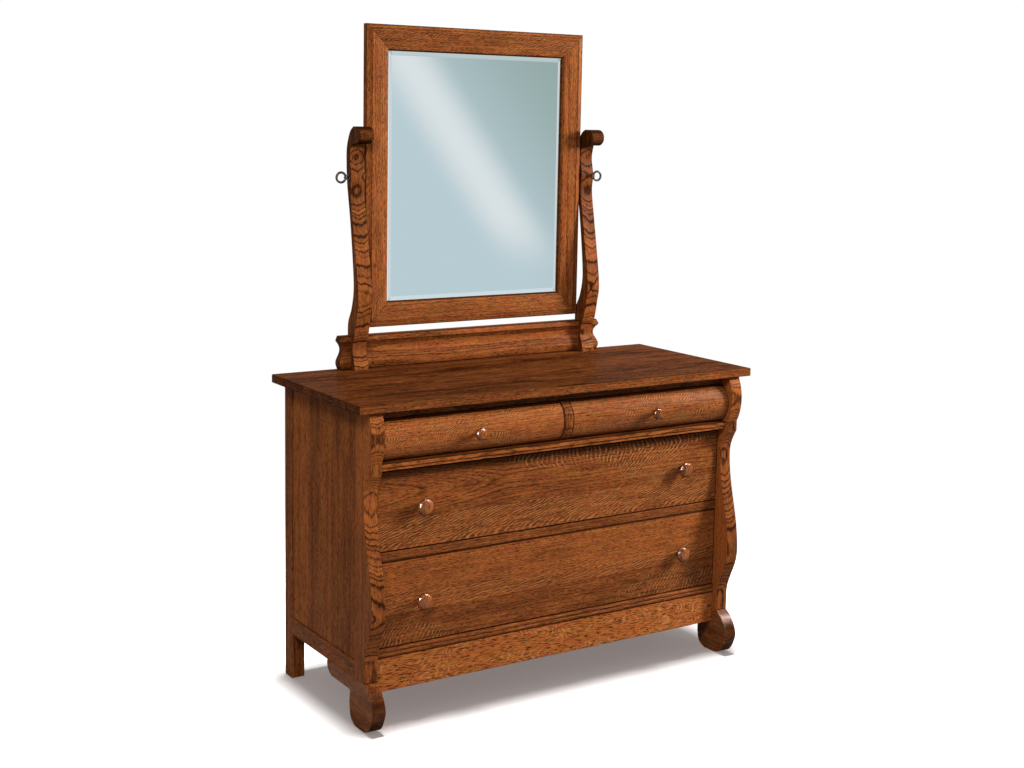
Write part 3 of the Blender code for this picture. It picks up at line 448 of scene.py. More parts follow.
def stain_tone(tree, given, noise, early, year, between):
    """Tone of the wood, from dark to light; end grain drinks more stain."""
    tone = add(tree, "ShaderNodeMath", {0: noise["clouds"], 1: 0.8, 2: given["Tone"]},
               operation="MULTIPLY_ADD")
    for name, strength in (("long streaks", 1.1), ("short streaks", 1.2)):
        streak = add(tree, "ShaderNodeMath", {0: noise[name], 1: -0.5}, operation="ADD")
        tone = add(tree, "ShaderNodeMath", {0: streak, 1: strength, 2: tone},
                   operation="MULTIPLY_ADD")
    yearly = add(tree, "ShaderNodeMath", {
        0: given["Ring strength"], 1: given["Year spread"], 2: 0.06,
    }, operation="MULTIPLY_ADD")
    tone = add(tree, "ShaderNodeMath", {0: year["Value"], 1: yearly, 2: tone},
               operation="MULTIPLY_ADD")
    random = add(tree, "ShaderNodeSeparateXYZ", {0: year["Color"]}).outputs[1]
    depth = add(tree, "ShaderNodeMath", {0: random, 1: 1.2, 2: 0.4}, operation="MULTIPLY_ADD")
    depth = add(tree, "ShaderNodeMath", {0: depth, 1: given["Ring strength"]},
                operation="MULTIPLY")
    ring_dark = add(tree, "ShaderNodeMath", {0: early, 1: depth}, operation="MULTIPLY")
    tone = add(tree, "ShaderNodeMath", {0: tone, 1: ring_dark}, operation="SUBTRACT")
    tone = add(tree, "ShaderNodeMath", {0: between, 1: -0.55, 2: tone}, operation="MULTIPLY_ADD")
    facing = add(tree, "ShaderNodeSeparateXYZ", {0: given["Facing"]})
    end_grain = add(tree, "ShaderNodeMapRange", {
        "Value": add(tree, "ShaderNodeMath", {0: facing}, operation="ABSOLUTE"),
        "From Min": 0.45, "From Max": 0.95, "To Max": 0.5,
    }, interpolation_type="SMOOTHSTEP")
    return add(tree, "ShaderNodeMath", {0: tone, 1: end_grain}, operation="SUBTRACT")


def oak_figure():
    """Node group for the figure of white oak, shared by all the oak pieces.

    Places are in millimetres: along the grain, across the board, and through its thickness.
    """
    if "oak figure" in bpy.data.node_groups:
        return bpy.data.node_groups["oak figure"]
    tree = bpy.data.node_groups.new("oak figure", "ShaderNodeTree")
    for side, kind, names in FIGURE_SOCKETS:
        for name in names:
            tree.interface.new_socket(name, in_out=side, socket_type=kind)
    given = add(tree, "NodeGroupInput").outputs
    noise = {}
    for name, (size, detail, roughness) in FIGURE_NOISES.items():
        drawn_out = add(tree, "ShaderNodeVectorMath", {
            0: given["Grain place"], 1: [1 / s for s in size],
        }, operation="MULTIPLY")
        noise[name] = add(tree, "ShaderNodeTexNoise", {
            "Vector": drawn_out, "Scale": 1.0, "Detail": detail, "Roughness": roughness,
        })
    early, year = growth_rings(tree, given, noise)
    pores = open_pores(tree, given, early)
    rays, between = ray_flecks(tree, given, noise)
    tone = stain_tone(tree, given, noise, early, year, between)
    pale, shade = (add(tree, "ShaderNodeMapRange", {
        "Value": tone, "From Min": MIDDLE_TONE, "From Max": end,
    }) for end in (1.05, -0.25))
    figure = given["Base"]
    for share, layer in ((pale, "Light"), (shade, "Dark"), (pores, "Dark"), (rays, "Ray")):
        figure = add(tree, "ShaderNodeMix", {"Factor": share, "A": figure, "B": given[layer]},
                     data_type="RGBA")
    # The stain drifts between olive brown and red brown along the streaks
    hue = add(tree, "ShaderNodeMapRange", {
        "Value": noise["hue"], "From Min": 0.25, "From Max": 0.75, "To Min": 0.490,
        "To Max": 0.511,
    })
    figure = add(tree, "ShaderNodeHueSaturation", {"Hue": hue, "Color": figure})
    height = add(tree, "ShaderNodeMath", {0: pores, 1: -1.0, 2: 1.0}, operation="MULTIPLY_ADD")
    height = add(tree, "ShaderNodeMath", {0: early, 1: -0.25, 2: height},
                 operation="MULTIPLY_ADD")
    add(tree, "NodeGroupOutput", {"Color": figure, "Height": height, "Open": pores})
    return tree


def new_material(name):
    """Material without nodes, and its node tree."""
    made = bpy.data.materials.new(name)
    made.use_nodes = True
    made.node_tree.nodes.clear()
    return made, made.node_tree


def object_place(tree, axes=(0, 1, 2), output="Object", scale=float(MM)):
    """Place on the object in millimetres, or its surface normal, in the order of the axes."""
    source = add(tree, "ShaderNodeTexCoord").outputs[output]
    scaled = add(tree, "ShaderNodeVectorMath", {0: source, "Scale": scale}, operation="SCALE")
    parts = add(tree, "ShaderNodeSeparateXYZ", {0: scaled}).outputs
    return add(tree, "ShaderNodeCombineXYZ", {k: parts[axes[k]] for k in range(3)})


def plain_flecks(tree, place, position, normal, flecks):
    """Step and strength of flecks (tilt, pitch, bend, amount) crossing the grain evenly.

    They lean by tilt from the grain, pitch millimetres apart, waver by bend steps, and show
    in patches, only where the face is cut along the rays.
    """
    tilt, pitch, bend, amount = flecks
    wave, patches = (add(tree, "ShaderNodeTexNoise", {
        "Vector": add(tree, "ShaderNodeVectorMath", {0: place, 1: [1 / s for s in size]},
                      operation="MULTIPLY"),
        "Scale": 1.0, "Detail": detail, "Roughness": roughness,
    }) for size, detail, roughness in (((90, 40, 40), 1.5, 0.45), ((170, 36, 36), 1.0, 0.5)))
    lean = add(tree, "ShaderNodeVectorMath", {
        0: place, 1: (-sin(tilt) / pitch, cos(tilt) / pitch, cos(tilt) / pitch),
    }, operation="DOT_PRODUCT")
    phase = add(tree, "ShaderNodeMath", {0: wave, 1: bend, 2: lean}, operation="MULTIPLY_ADD")
    radial = add(tree, "ShaderNodeVectorMath", {
        0: add(tree, "ShaderNodeVectorMath", {0: position, 1: (0.0, 1.0, 1.0)},
               operation="MULTIPLY"),
    }, operation="NORMALIZE")
    around = add(tree, "ShaderNodeVectorMath", {0: (1.0, 0.0, 0.0), 1: radial},
                 operation="CROSS_PRODUCT")
    quarter = add(tree, "ShaderNodeVectorMath", {0: around, 1: normal}, operation="DOT_PRODUCT")
    quarter = add(tree, "ShaderNodeMapRange", {
        "Value": add(tree, "ShaderNodeMath", {0: quarter}, operation="ABSOLUTE"),
        "From Min": 0.45, "From Max": 0.85, "To Max": amount,
    }, interpolation_type="SMOOTHSTEP")
    patch = add(tree, "ShaderNodeMapRange", {
        "Value": patches, "From Min": 0.38, "From Max": 0.60,
    }, interpolation_type="SMOOTHSTEP")
    return phase, add(tree, "ShaderNodeMath", {0: patch, 1: quarter}, operation="MULTIPLY")


def drawn_flecks(tree, place, spread, field, pitch, lean, reach, edge, amount, above=True,
                 turn=None):
    """Step and strength of flecks that all follow one curve across a board's face.

    field is the face's (start, end) along and (low, high) across, in millimetres. lean is the
    curve of a fleck, as (share of the height, share of reach); turn swings it over between
    two shares of the length. edge bounds the flecks from below, or from above.
    """
    start, end, low, high = field
    shares = add(tree, "ShaderNodeVectorMath", {
        0: place, 1: (1 / (end - start), 1 / (high - low), 0.0),
        2: (-start / (end - start), -low / (high - low), 0.0),
    }, operation="MULTIPLY_ADD")
    parts = add(tree, "ShaderNodeSeparateXYZ", {0: shares}).outputs
    swing = add(tree, "ShaderNodeMath", {
        0: add(tree, "ShaderNodeFloatCurve", {"Value": parts[1]}, curve=lean), 1: reach,
    }, operation="MULTIPLY")
    if turn:
        swing = add(tree, "ShaderNodeMath", {
            0: swing,
            1: add(tree, "ShaderNodeMapRange", {
                "Value": parts[0], "From Min": turn[0], "From Max": turn[1],
                "To Min": 1.0, "To Max": -1.0,
            }),
        }, operation="MULTIPLY")
    along = add(tree, "ShaderNodeMath", {
        0: add(tree, "ShaderNodeSeparateXYZ", {0: place}), 1: swing,
    }, operation="SUBTRACT")
    waves, patches = (add(tree, "ShaderNodeTexNoise", {
        "Vector": add(tree, "ShaderNodeVectorMath", {0: spread, 1: [1 / s for s in size]},
                      operation="MULTIPLY"),
        "Scale": 1.0, "Detail": detail,
    }) for size, detail in (((80, 45, 45), 3.0), ((60, 16, 16), 1.0)))
    waver = add(tree, "ShaderNodeMath", {0: waves, 1: 3.0}, operation="MULTIPLY")
    phase = add(tree, "ShaderNodeMath", {0: along, 1: 1 / pitch, 2: waver},
                operation="MULTIPLY_ADD")
    bound = add(tree, "ShaderNodeFloatCurve", {"Value": parts[0]}, curve=edge)
    inside = add(tree, "ShaderNodeMath", {0: parts[1], 1: bound}, operation="SUBTRACT")
    patch = add(tree, "ShaderNodeMath", {0: patches, 1: -0.5}, operation="ADD")
    ragged = add(tree, "ShaderNodeMath", {0: patch, 1: 0.5, 2: inside}, operation="MULTIPLY_ADD")
    side = 0.16 if above else -0.16
    mask = add(tree, "ShaderNodeMapRange", {
        "Value": ragged, "From Min": -side / 2, "From Max": side, "To Max": amount,
    }, interpolation_type="SMOOTHSTEP")
    return phase, mask


def glued_boards(tree, place, spread, heart, tone, stave):
    """Place in the tree, grain place and tone of boards glued edge to edge.

    stave is (width, spread of tones). Each board comes from another part of the tree.
    """
    width, contrast = stave
    board = add(tree, "ShaderNodeTexVoronoi", {
        "W": add(tree, "ShaderNodeSeparateXYZ", {0: place}).outputs[1],
        "Scale": 1 / width, "Randomness": 0.35,
    }, voronoi_dimensions="1D", feature="F1").outputs
    spread = add(tree, "ShaderNodeVectorMath", {
        0: board["Color"], 1: (2900.0, 640.0, 310.0), 2: spread,
    }, operation="MULTIPLY_ADD")
    middle = add(tree, "ShaderNodeCombineXYZ", {1: board["W"]})
    centre = add(tree, "ShaderNodeVectorMath", {
        0: board["Color"], 1: (0.0, width, 0.0), 2: (0.0, heart[0] - width / 2, heart[1]),
    }, operation="MULTIPLY_ADD")
    centre = add(tree, "ShaderNodeVectorMath", {0: centre, 1: middle}, operation="ADD")
    position = add(tree, "ShaderNodeVectorMath", {0: place, 1: centre}, operation="SUBTRACT")
    random = add(tree, "ShaderNodeSeparateXYZ", {0: board["Color"]})
    tone = add(tree, "ShaderNodeMath", {0: random, 1: contrast, 2: tone - contrast / 2},
               operation="MULTIPLY_ADD")
    return position, spread, tone


def oak_board(tree, place, normal, heart, tone=0.0, edge_tone=0.0, ring=1.0,
              ring_strength=0.30, ring_edge=1.0, years=0.75, wobble=2.6, drift=30.0, slant=None,
              calm=None, fade=None, stave=None, flecks=None, drawn=None, pores=1.0, dash=1.0,
              seed=0):
    """Figure of one board, or of staves glued from one tree.

    heart is the tree's centre line, across the board and through it. edge_tone
    lightens the board's edges, the faces that turn away from its face, as painted light, and
    darkens them as painted shade where it is below 0. A ring_edge over 1 thins the rings'
    dark lines; years is how much the tone changes from year to year. slant is (start, end,
    shift): rings shift by that much between two places along the grain, which draws pointed
    arches. calm is the (start, end) along the grain between which the rings fade, fade is
    (start, end, change) for the tone between two places along the grain. dash lengthens the
    pores.
    """
    wood = bpy.context.scene.dresser_oak
    spread = add(tree, "ShaderNodeVectorMath", {
        0: place, 1: (1310.0 * seed, 270.0 * seed, 90.0 * seed),
    }, operation="ADD")
    if stave:
        position, spread, tone = glued_boards(tree, place, spread, heart, tone, stave)
    else:
        position = add(tree, "ShaderNodeVectorMath", {0: place, 1: (0.0, *heart)},
                       operation="SUBTRACT")
    # Painted light and shade: the board's edges, turned from its face, lighter or darker
    if edge_tone:
        through = add(tree, "ShaderNodeSeparateXYZ", {0: normal}).outputs[2]
        edge = add(tree, "ShaderNodeMapRange", {
            "Value": add(tree, "ShaderNodeMath", {0: through}, operation="ABSOLUTE"),
            "From Min": 0.9, "From Max": 0.3, "To Max": edge_tone,
        })
        tone = add(tree, "ShaderNodeMath", {0: edge, 1: tone}, operation="ADD")
    if fade or calm or slant:
        along = add(tree, "ShaderNodeSeparateXYZ", {0: place}).outputs[0]
    if fade:
        change = add(tree, "ShaderNodeMapRange", {
            "Value": along, "From Min": fade[0], "From Max": fade[1], "To Max": fade[2],
        })
        tone = add(tree, "ShaderNodeMath", {0: change, 1: tone}, operation="ADD")
    if calm:
        ring_strength = add(tree, "ShaderNodeMapRange", {
            "Value": along, "From Min": calm[0], "From Max": calm[1],
            "To Min": ring_strength, "To Max": ring_strength * 0.15,
        })
    shift = 0.0
    if slant:
        shift = add(tree, "ShaderNodeMapRange", {
            "Value": along, "From Min": slant[0], "From Max": slant[1], "To Max": slant[2],
        })
    phase, amount = 0.0, 0.0
    if flecks:
        phase, amount = plain_flecks(tree, spread, position, normal, flecks)
    if drawn:
        phase, amount = drawn_flecks(tree, place, spread, **drawn)
    return add(tree, "ShaderNodeGroup", {
        "Position": position, "Grain place": spread, "Facing": normal, "Tone": tone,
        "Ring width": wood.ring * MM * ring, "Ring strength": ring_strength,
        "Ring edge": ring_edge, "Ring shift": shift, "Year spread": years,
        "Wobble": wobble, "Drift": drift, "Ray phase": phase, "Ray amount": amount,
        "Pore width": wood.pore_width * MM, "Pore length": wood.pore_length * MM * dash,
        "Pore amount": pores, "Light": rgba(wood.light), "Base": rgba(wood.base),
        "Dark": rgba(wood.dark), "Ray": rgba(wood.ray),
    }, node_tree=oak_figure()).outputs


def oak(name, grain, gloss=0.06, polish=None, lower=None, split=0.0, lines=None, **board):
    """White oak, quarter sawn, brown stained and satin lacquered.

    The stain settles dark in the open pores, the early wood and the end grain. Cut across
    the rays, their ribbons take less of it and cross the grain as pale flecks. All the gloss
    is that of the thin lacquer, as rough as polish says. board sets the figure; lower sets
    that of a second board, glued on below the split, a height in millimetres. lines are dark
    lines painted along the face's border: partly stain gathered at its eased edges, partly
    painted shade of the gaps beside it.
    """
    made, tree = new_material(name)
    place = object_place(tree, GRAIN_AXES[grain])
    normal = object_place(tree, GRAIN_AXES[grain], "Normal", 1.0)
    figure = oak_board(tree, place, normal, **board)
    stained, height, pores = figure["Color"], figure["Height"], figure["Open"]
    if lower:
        other = oak_board(tree, place, normal, **lower)
        across = add(tree, "ShaderNodeSeparateXYZ", {0: place}).outputs[1]
        upper = add(tree, "ShaderNodeMath", {0: across, 1: split}, operation="GREATER_THAN")
        stained, height, pores = (
            add(tree, "ShaderNodeMix", {"Factor": upper, "A": other[part], "B": figure[part]},
                data_type=kind)
            for part, kind in (("Color", "RGBA"), ("Height", "FLOAT"), ("Open", "FLOAT"))
        )
    # Painted shade: dark lines along the border, partly stain at the eased edges
    if lines:
        stained = stain_and_shade_lines(tree, place, normal, stained, *lines)
    bump = add(tree, "ShaderNodeBump", {"Strength": 0.35, "Distance": 0.0004, "Height": height})
    rough = add(tree, "ShaderNodeMath", {
        0: pores, 1: 0.25, 2: polish or bpy.context.scene.dresser_oak.lacquer,
    }, operation="MULTIPLY_ADD")
    shader = add(tree, "ShaderNodeBsdfPrincipled", {
        "Base Color": stained, "Roughness": 0.6, "Normal": bump, "Specular IOR Level": 0.0,
        "Coat Weight": gloss, "Coat Roughness": rough, "Coat IOR": 1.5, "Coat Normal": bump,
    })
    add(tree, "ShaderNodeOutputMaterial", {"Surface": shader})
    return made


def inset_of(tree, place, field):
    """Distance in from the border of a field, (start, end) along and (low, high) across."""
    start, end, low, high = field
    off = add(tree, "ShaderNodeVectorMath", {
        0: add(tree, "ShaderNodeVectorMath", {
            0: place, 1: ((start + end) / 2, (low + high) / 2, 0.0),
        }, operation="SUBTRACT"),
    }, operation="ABSOLUTE")
    inward = add(tree, "ShaderNodeSeparateXYZ", {
        0: add(tree, "ShaderNodeVectorMath", {
            0: ((end - start) / 2, (high - low) / 2, 0.0), 1: off,
        }, operation="SUBTRACT"),
    }).outputs
    return add(tree, "ShaderNodeMath", {0: inward[0], 1: inward[1]}, operation="MINIMUM")


def stain_and_shade_lines(tree, place, normal, stained, field, lines, top=None):
    """Colour of a face with dark lines painted along the border of its field: partly stain
    gathered at the eased edges, partly painted shade of the gaps and creases beside them.

    A line goes from one distance in from the border to another and has a depth of painted
    shade; top is the (height, depth) of a wider painted shadow under the upper edge. All in
    millimetres.
    """
    inset = inset_of(tree, place, field)
    shade = 0.0
    for start, end, depth in lines:
        off = add(tree, "ShaderNodeMath", {
            0: add(tree, "ShaderNodeMath", {0: inset, 1: (start + end) / 2},
                   operation="SUBTRACT"),
        }, operation="ABSOLUTE")
        half = (end - start) / 2
        line = add(tree, "ShaderNodeMapRange", {
            "Value": off, "From Min": half - LINE_BLUR, "From Max": half + LINE_BLUR,
            "To Min": depth, "To Max": 0.0,
        }, interpolation_type="SMOOTHSTEP")
        shade = add(tree, "ShaderNodeMath", {0: line, 1: shade}, operation="MAXIMUM")
    if top:
        upper = add(tree, "ShaderNodeMapRange", {
            "Value": add(tree, "ShaderNodeSeparateXYZ", {0: place}).outputs[1],
            "From Min": field[3] - top[0], "From Max": field[3], "To Max": top[1],
        }, interpolation_type="SMOOTHSTEP")
        shade = add(tree, "ShaderNodeMath", {0: shade, 1: upper}, operation="MAXIMUM")
    # Only on the face, not round its edges
    through = add(tree, "ShaderNodeSeparateXYZ", {0: normal}).outputs[2]
    facing = add(tree, "ShaderNodeMapRange", {
        "Value": add(tree, "ShaderNodeMath", {0: through}, operation="ABSOLUTE"),
        "From Min": 0.15, "From Max": 0.40,
    })
    return add(tree, "ShaderNodeMix", {
        "Factor": add(tree, "ShaderNodeMath", {0: shade, 1: facing}, operation="MULTIPLY"),
        "A": stained, "B": rgba(bpy.context.scene.dresser_oak.dark),
    }, data_type="RGBA")


def plain_wood(name, grain, light, dark, width, run, roughness):
    """Sanded secondary wood: faint streaks along the grain under a thin sealer."""
    made, tree = new_material(name)
    place = object_place(tree, GRAIN_AXES[grain])
    streak, fibre = (add(tree, "ShaderNodeTexNoise", {
        "Vector": add(tree, "ShaderNodeVectorMath", {0: place, 1: [1 / s for s in size]},
                      operation="MULTIPLY"),
        "Scale": 1.0, "Detail": detail, "Roughness": rough,
    }) for size, detail, rough in (((run, width, width), 5.0, 0.6), ((12, 1, 1), 2.0, 0.5)))
    mixed = add(tree, "ShaderNodeMath", {0: fibre, 1: 0.4, 2: streak}, operation="MULTIPLY_ADD")
    share = add(tree, "ShaderNodeMapRange", {"Value": mixed, "From Min": 0.45, "From Max": 0.95})
    tint = add(tree, "ShaderNodeMix", {
        "Factor": share, "A": rgba(linear(dark)), "B": rgba(linear(light)),
    }, data_type="RGBA")
    bump = add(tree, "ShaderNodeBump", {"Strength": 0.2, "Distance": 0.0002, "Height": fibre})
    shader = add(tree, "ShaderNodeBsdfPrincipled", {
        "Base Color": tint, "Roughness": roughness, "Normal": bump,
    })
    add(tree, "ShaderNodeOutputMaterial", {"Surface": shader})
    return made


def silvered_glass():
    """Float glass, silvered on the back: a clean pale blue-grey reflection."""
    look = bpy.context.scene.dresser_mirror
    made, tree = new_material("silvered float glass")
    place = object_place(tree)
    # The bevel is 22 mm wide; the inner part of its upright sides is painted darker, a
    # painted reflection that shows less of the room
    low, high = (x * MM for x in span("mirror_glass", 0))
    inset = inset_of(tree, place, (low, high, -FAR, FAR))
    bevel = add(tree, "ShaderNodeMapRange", {
        "Value": inset, "From Min": 22.4, "From Max": 21.2,
    }, interpolation_type="SMOOTHSTEP")
    outer = add(tree, "ShaderNodeMapRange", {
        "Value": inset, "From Min": 14.5, "From Max": 12.5, "To Min": 1.0, "To Max": 0.0,
    }, interpolation_type="SMOOTHSTEP")
    tint = add(tree, "ShaderNodeMix", {
        "Factor": add(tree, "ShaderNodeMath", {0: bevel, 1: outer}, operation="MULTIPLY"),
        "A": rgba(look.glass), "B": rgba([c * 0.76 for c in look.glass]),
    }, data_type="RGBA")
    haze = add(tree, "ShaderNodeTexNoise", {"Vector": place, "Scale": 0.006, "Detail": 2.0})
    rough = add(tree, "ShaderNodeMapRange", {"Value": haze, "To Min": 0.025, "To Max": 0.045})
    shader = add(tree, "ShaderNodeBsdfPrincipled", {
        "Base Color": tint, "Metallic": 1.0, "Roughness": rough,
    })
    add(tree, "ShaderNodeOutputMaterial", {"Surface": shader})
    return made


def antique_pewter():
    """Cast zinc with an antique pewter plating: rubbed bright on high spots, dark in hollows."""
    bright = bpy.context.scene.dresser_mirror.metal
    made, tree = new_material("antique pewter plated zinc")
    place = object_place(tree)
    cast = add(tree, "ShaderNodeTexNoise", {"Vector": place, "Scale": 0.35, "Detail": 4.0})
    wear = add(tree, "ShaderNodeMapRange", {
        "Value": cast, "From Min": 0.38, "From Max": 0.62,
    }, interpolation_type="SMOOTHSTEP")
    tint = add(tree, "ShaderNodeMix", {
        "Factor": wear, "A": rgba([c * 0.3 for c in bright]), "B": rgba(bright),
    }, data_type="RGBA")
    rough = add(tree, "ShaderNodeMapRange", {"Value": wear, "To Min": 0.40, "To Max": 0.20})
    bump = add(tree, "ShaderNodeBump", {"Strength": 0.25, "Distance": 0.0002, "Height": cast})
    shader = add(tree, "ShaderNodeBsdfPrincipled", {
        "Base Color": tint, "Metallic": 1.0, "Roughness": rough, "Normal": bump,
    })
    add(tree, "ShaderNodeOutputMaterial", {"Surface": shader})
    return made


def dress(nodes, material):
    """Give CAD nodes that stay in view their material."""
    for name in nodes:
        data = frame["nodes"][name].data
        data.materials.clear()
        data.materials.append(material)


# Operators, one for each piece or group of like pieces

SCREEN_Y = -2.75  # where the soft screen in front of the mirror hangs
SCREEN_BORDER = 0.6  # how far it reaches beyond the mirror's image, in sizes of that image
FLOOR_RADIUS = 12.0
OPEN_FLOOR = (1.1, 1.9)  # distances between which the floor's shadow fades to white
WHITE = (1.0, 1.0, 1.0, 1.0)
SHADE_TINT = (1.0, 0.86, 0.83, 1.0)  # warms the floor's shadow
ROOM_TINT = (1.0, 0.985, 0.96, 1.0)

# Lamp: the place it aims at, the way to it from there, its distance and its size
LAMPS = {
    "key lamp": ((0.1, 0.0, 0.75), (0.80, -0.42, 0.38), 3.6, 1.0),
    "fill lamp": ((0.0, 0.0, 0.8), (-0.64, -0.64, 0.66), 4.2, 1.1),
    "overhead lamp": ((0.0, 0.0, 0.0), (0.0, 0.0, 1.0), 20.0, 3.1),
    "upper soft box": ((0.0, 0.0, 0.5), (0.55, -0.40, 0.73), 4.0, 2.3),
    "left soft box": ((0.0, 0.0, 0.5), (-0.86, -0.42, 0.28), 4.0, 2.3),
}


class DRESSER_OT_stage(bpy.types.Operator):
    """Camera at the photograph's angle, pale floor and soft studio light"""
    bl_idname = "dresser.stage"
    bl_label = "Stage"

    def execute(self, context):
        stage = context.scene.dresser_stage
        self.place_camera(context, stage)
        self.lay_floor(stage)
        self.light_room(context, stage)
        self.hang_screen(stage)
        # The key and fill lamps are flagged off the floor, the overhead lamp off the object
        object_light = bpy.data.collections.new("lit by key and fill lamps")
        floor_light = bpy.data.collections.new("lit by overhead lamp")
        polished = bpy.data.collections.new("polished pieces")
        # The mirror glass is in none of them, so that it shows the pale room and no lamp
        for item in context.scene.objects:
            if item.type == "MESH" and item != frame["nodes"]["mirror_glass"]:
                (floor_light if item.get("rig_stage") else object_light).objects.link(item)
            if item.name.startswith(("turned_knob", "foot_right")):
                polished.objects.link(item)
        # The soft boxes show only as gleams on the polished knobs and the right foot
        for name, power, lit in (("key lamp", stage.key, object_light),
                                 ("fill lamp", stage.fill, object_light),
                                 ("overhead lamp", stage.overhead, floor_light),
                                 ("upper soft box", stage.gleam, polished),
                                 ("left soft box", stage.gleam * 2.0, polished)):
            lamp = self.hang_lamp(context, name, power)
            lamp.light_linking.receiver_collection = lit
            lamp.visible_diffuse = lit != polished
        context.scene.view_settings.view_transform = "Standard"
        return {"FINISHED"}

    def place_camera(self, context, stage):
        sy, cy = sin(stage.yaw), cos(stage.yaw)
        sp, cp = sin(stage.pitch), cos(stage.pitch)
        forward = Vector((sy * cp, cy * cp, -sp))
        right = Vector((cy, -sy, 0.0))
        up = right.cross(forward)
        side = right * cos(stage.roll) + up * sin(stage.roll)
        rise = up * cos(stage.roll) - right * sin(stage.roll)
        lens = bpy.data.cameras.new("camera")
        lens.sensor_width = 36.0
        lens.lens = stage.focal
        lens.shift_y = stage.shift
        camera = bpy.data.objects.new("camera", lens)
        turn = Matrix((side, rise, -forward)).transposed().to_4x4()
        camera.matrix_world = Matrix.Translation(stage.eye) @ turn
        context.scene.collection.objects.link(camera)
        context.scene.camera = camera

    def hang_lamp(self, context, name, power):
        target, direction, distance, size = LAMPS[name]
        direction = Vector(direction).normalized()
        light = bpy.data.lights.new(name, "AREA")
        light.shape = "DISK"
        light.size = size
        light.energy = power
        lamp = bpy.data.objects.new(name, light)
        lamp.location = Vector(target) + direction * distance
        lamp.rotation_euler = direction.to_track_quat("Z", "Y").to_euler()
        lamp.visible_camera = False
        context.scene.collection.objects.link(lamp)
        return lamp

    def seen(self, tree):
        """1 where the camera sees it directly, in gloss or through glass, 0 for other light."""
        path = add(tree, "ShaderNodeLightPath").outputs
        clear = path["Is Camera Ray"]
        for kind in ("Is Glossy Ray", "Is Transmission Ray"):
            clear = add(tree, "ShaderNodeMath", {0: clear, 1: path[kind]}, operation="MAXIMUM")
        return clear

    def lay_floor(self, stage):
        mesh_data = bmesh.new()
        bmesh.ops.create_circle(mesh_data, cap_ends=True, segments=64, radius=FLOOR_RADIUS)
        floor = link_mesh("floor", mesh_data)
        made, tree = new_material("pale matt floor")
        place = add(tree, "ShaderNodeTexCoord").outputs["Object"]
        speck = add(tree, "ShaderNodeTexNoise", {"Vector": place, "Scale": 3.0, "Detail": 3.0})
        tint = add(tree, "ShaderNodeMix", {
            "Factor": speck, "A": rgba(stage.floor), "B": rgba([c * 0.985 for c in stage.floor]),
        }, data_type="RGBA")
        # Where it is seen, the floor is white outside its shadow, and the shadow is lifted
        pale = add(tree, "ShaderNodeBsdfDiffuse", {"Color": tint})
        warm = add(tree, "ShaderNodeEmission", {"Color": SHADE_TINT, "Strength": 1.0})
        lifted = add(tree, "ShaderNodeMixShader", {0: stage.floor_shade, 1: pale, 2: warm})
        white = add(tree, "ShaderNodeEmission", {"Color": WHITE, "Strength": 1.0})
        away = add(tree, "ShaderNodeVectorMath", {0: place}, operation="LENGTH")
        away = add(tree, "ShaderNodeMapRange", {
            "Value": away, "From Min": OPEN_FLOOR[0], "From Max": OPEN_FLOOR[1],
        }, interpolation_type="SMOOTHSTEP")
        bright = add(tree, "ShaderNodeMixShader", {0: away, 1: lifted, 2: white})
        # To the light that it sends up to the object it is darker, as its lamp is the stronger
        diffuse = add(tree, "ShaderNodeBsdfDiffuse", {
            "Color": rgba([c * stage.floor_bounce for c in stage.floor]),
        })
        mixed = add(tree, "ShaderNodeMixShader", {0: self.seen(tree), 1: diffuse, 2: bright})
        add(tree, "ShaderNodeOutputMaterial", {"Surface": mixed})
        floor.data.materials.append(made)
        floor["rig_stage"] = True

    def light_room(self, context, stage):
        world = bpy.data.worlds.new("pale room")
        context.scene.world = world
        world.use_nodes = True
        tree = world.node_tree
        tree.nodes.clear()
        room = add(tree, "ShaderNodeBackground", {"Color": ROOM_TINT, "Strength": stage.sky})
        # Where it is seen, the room is plain white
        white = add(tree, "ShaderNodeBackground", {"Color": WHITE, "Strength": 1.0})
        mixed = add(tree, "ShaderNodeMixShader", {0: self.seen(tree), 1: room, 2: white})
        add(tree, "ShaderNodeOutputWorld", {"Surface": mixed})

    def hang_screen(self, stage):
        """Soft screen at the front right, seen only in the mirror, as a pale slanting sheen."""
        near, far = -SCREEN_BORDER, 1 + SCREEN_BORDER
        mesh_data = bmesh.new()
        corners = [mesh_data.verts.new((u, 0.0, v)) for v in (near, far) for u in (near, far)]
        mesh_data.faces.new((corners[0], corners[1], corners[3], corners[2]))
        screen = link_mesh("screen", mesh_data)
        # It fills the mirror where lines from the camera's image behind the glass meet it
        eye, glass = stage.eye, span("mirror_glass", 1)[0]
        reach = (SCREEN_Y + eye[1] - 2 * glass) / (eye[1] - glass)
        left, right = span("mirror_frame_left", 0)[1], span("mirror_frame_right", 0)[0]
        foot, head = span("mirror_frame_bottom", 2)[1], span("mirror_frame_top", 2)[0]
        screen.location = (eye[0] + (left - eye[0]) * reach, SCREEN_Y,
                           eye[2] + (head - eye[2]) * reach)
        screen.scale = ((right - left) * reach, 1.0, (foot - head) * reach)
        for kind in ("camera", "diffuse", "shadow", "transmission", "volume_scatter"):
            setattr(screen, "visible_" + kind, False)
        made, tree = new_material("soft grey screen")
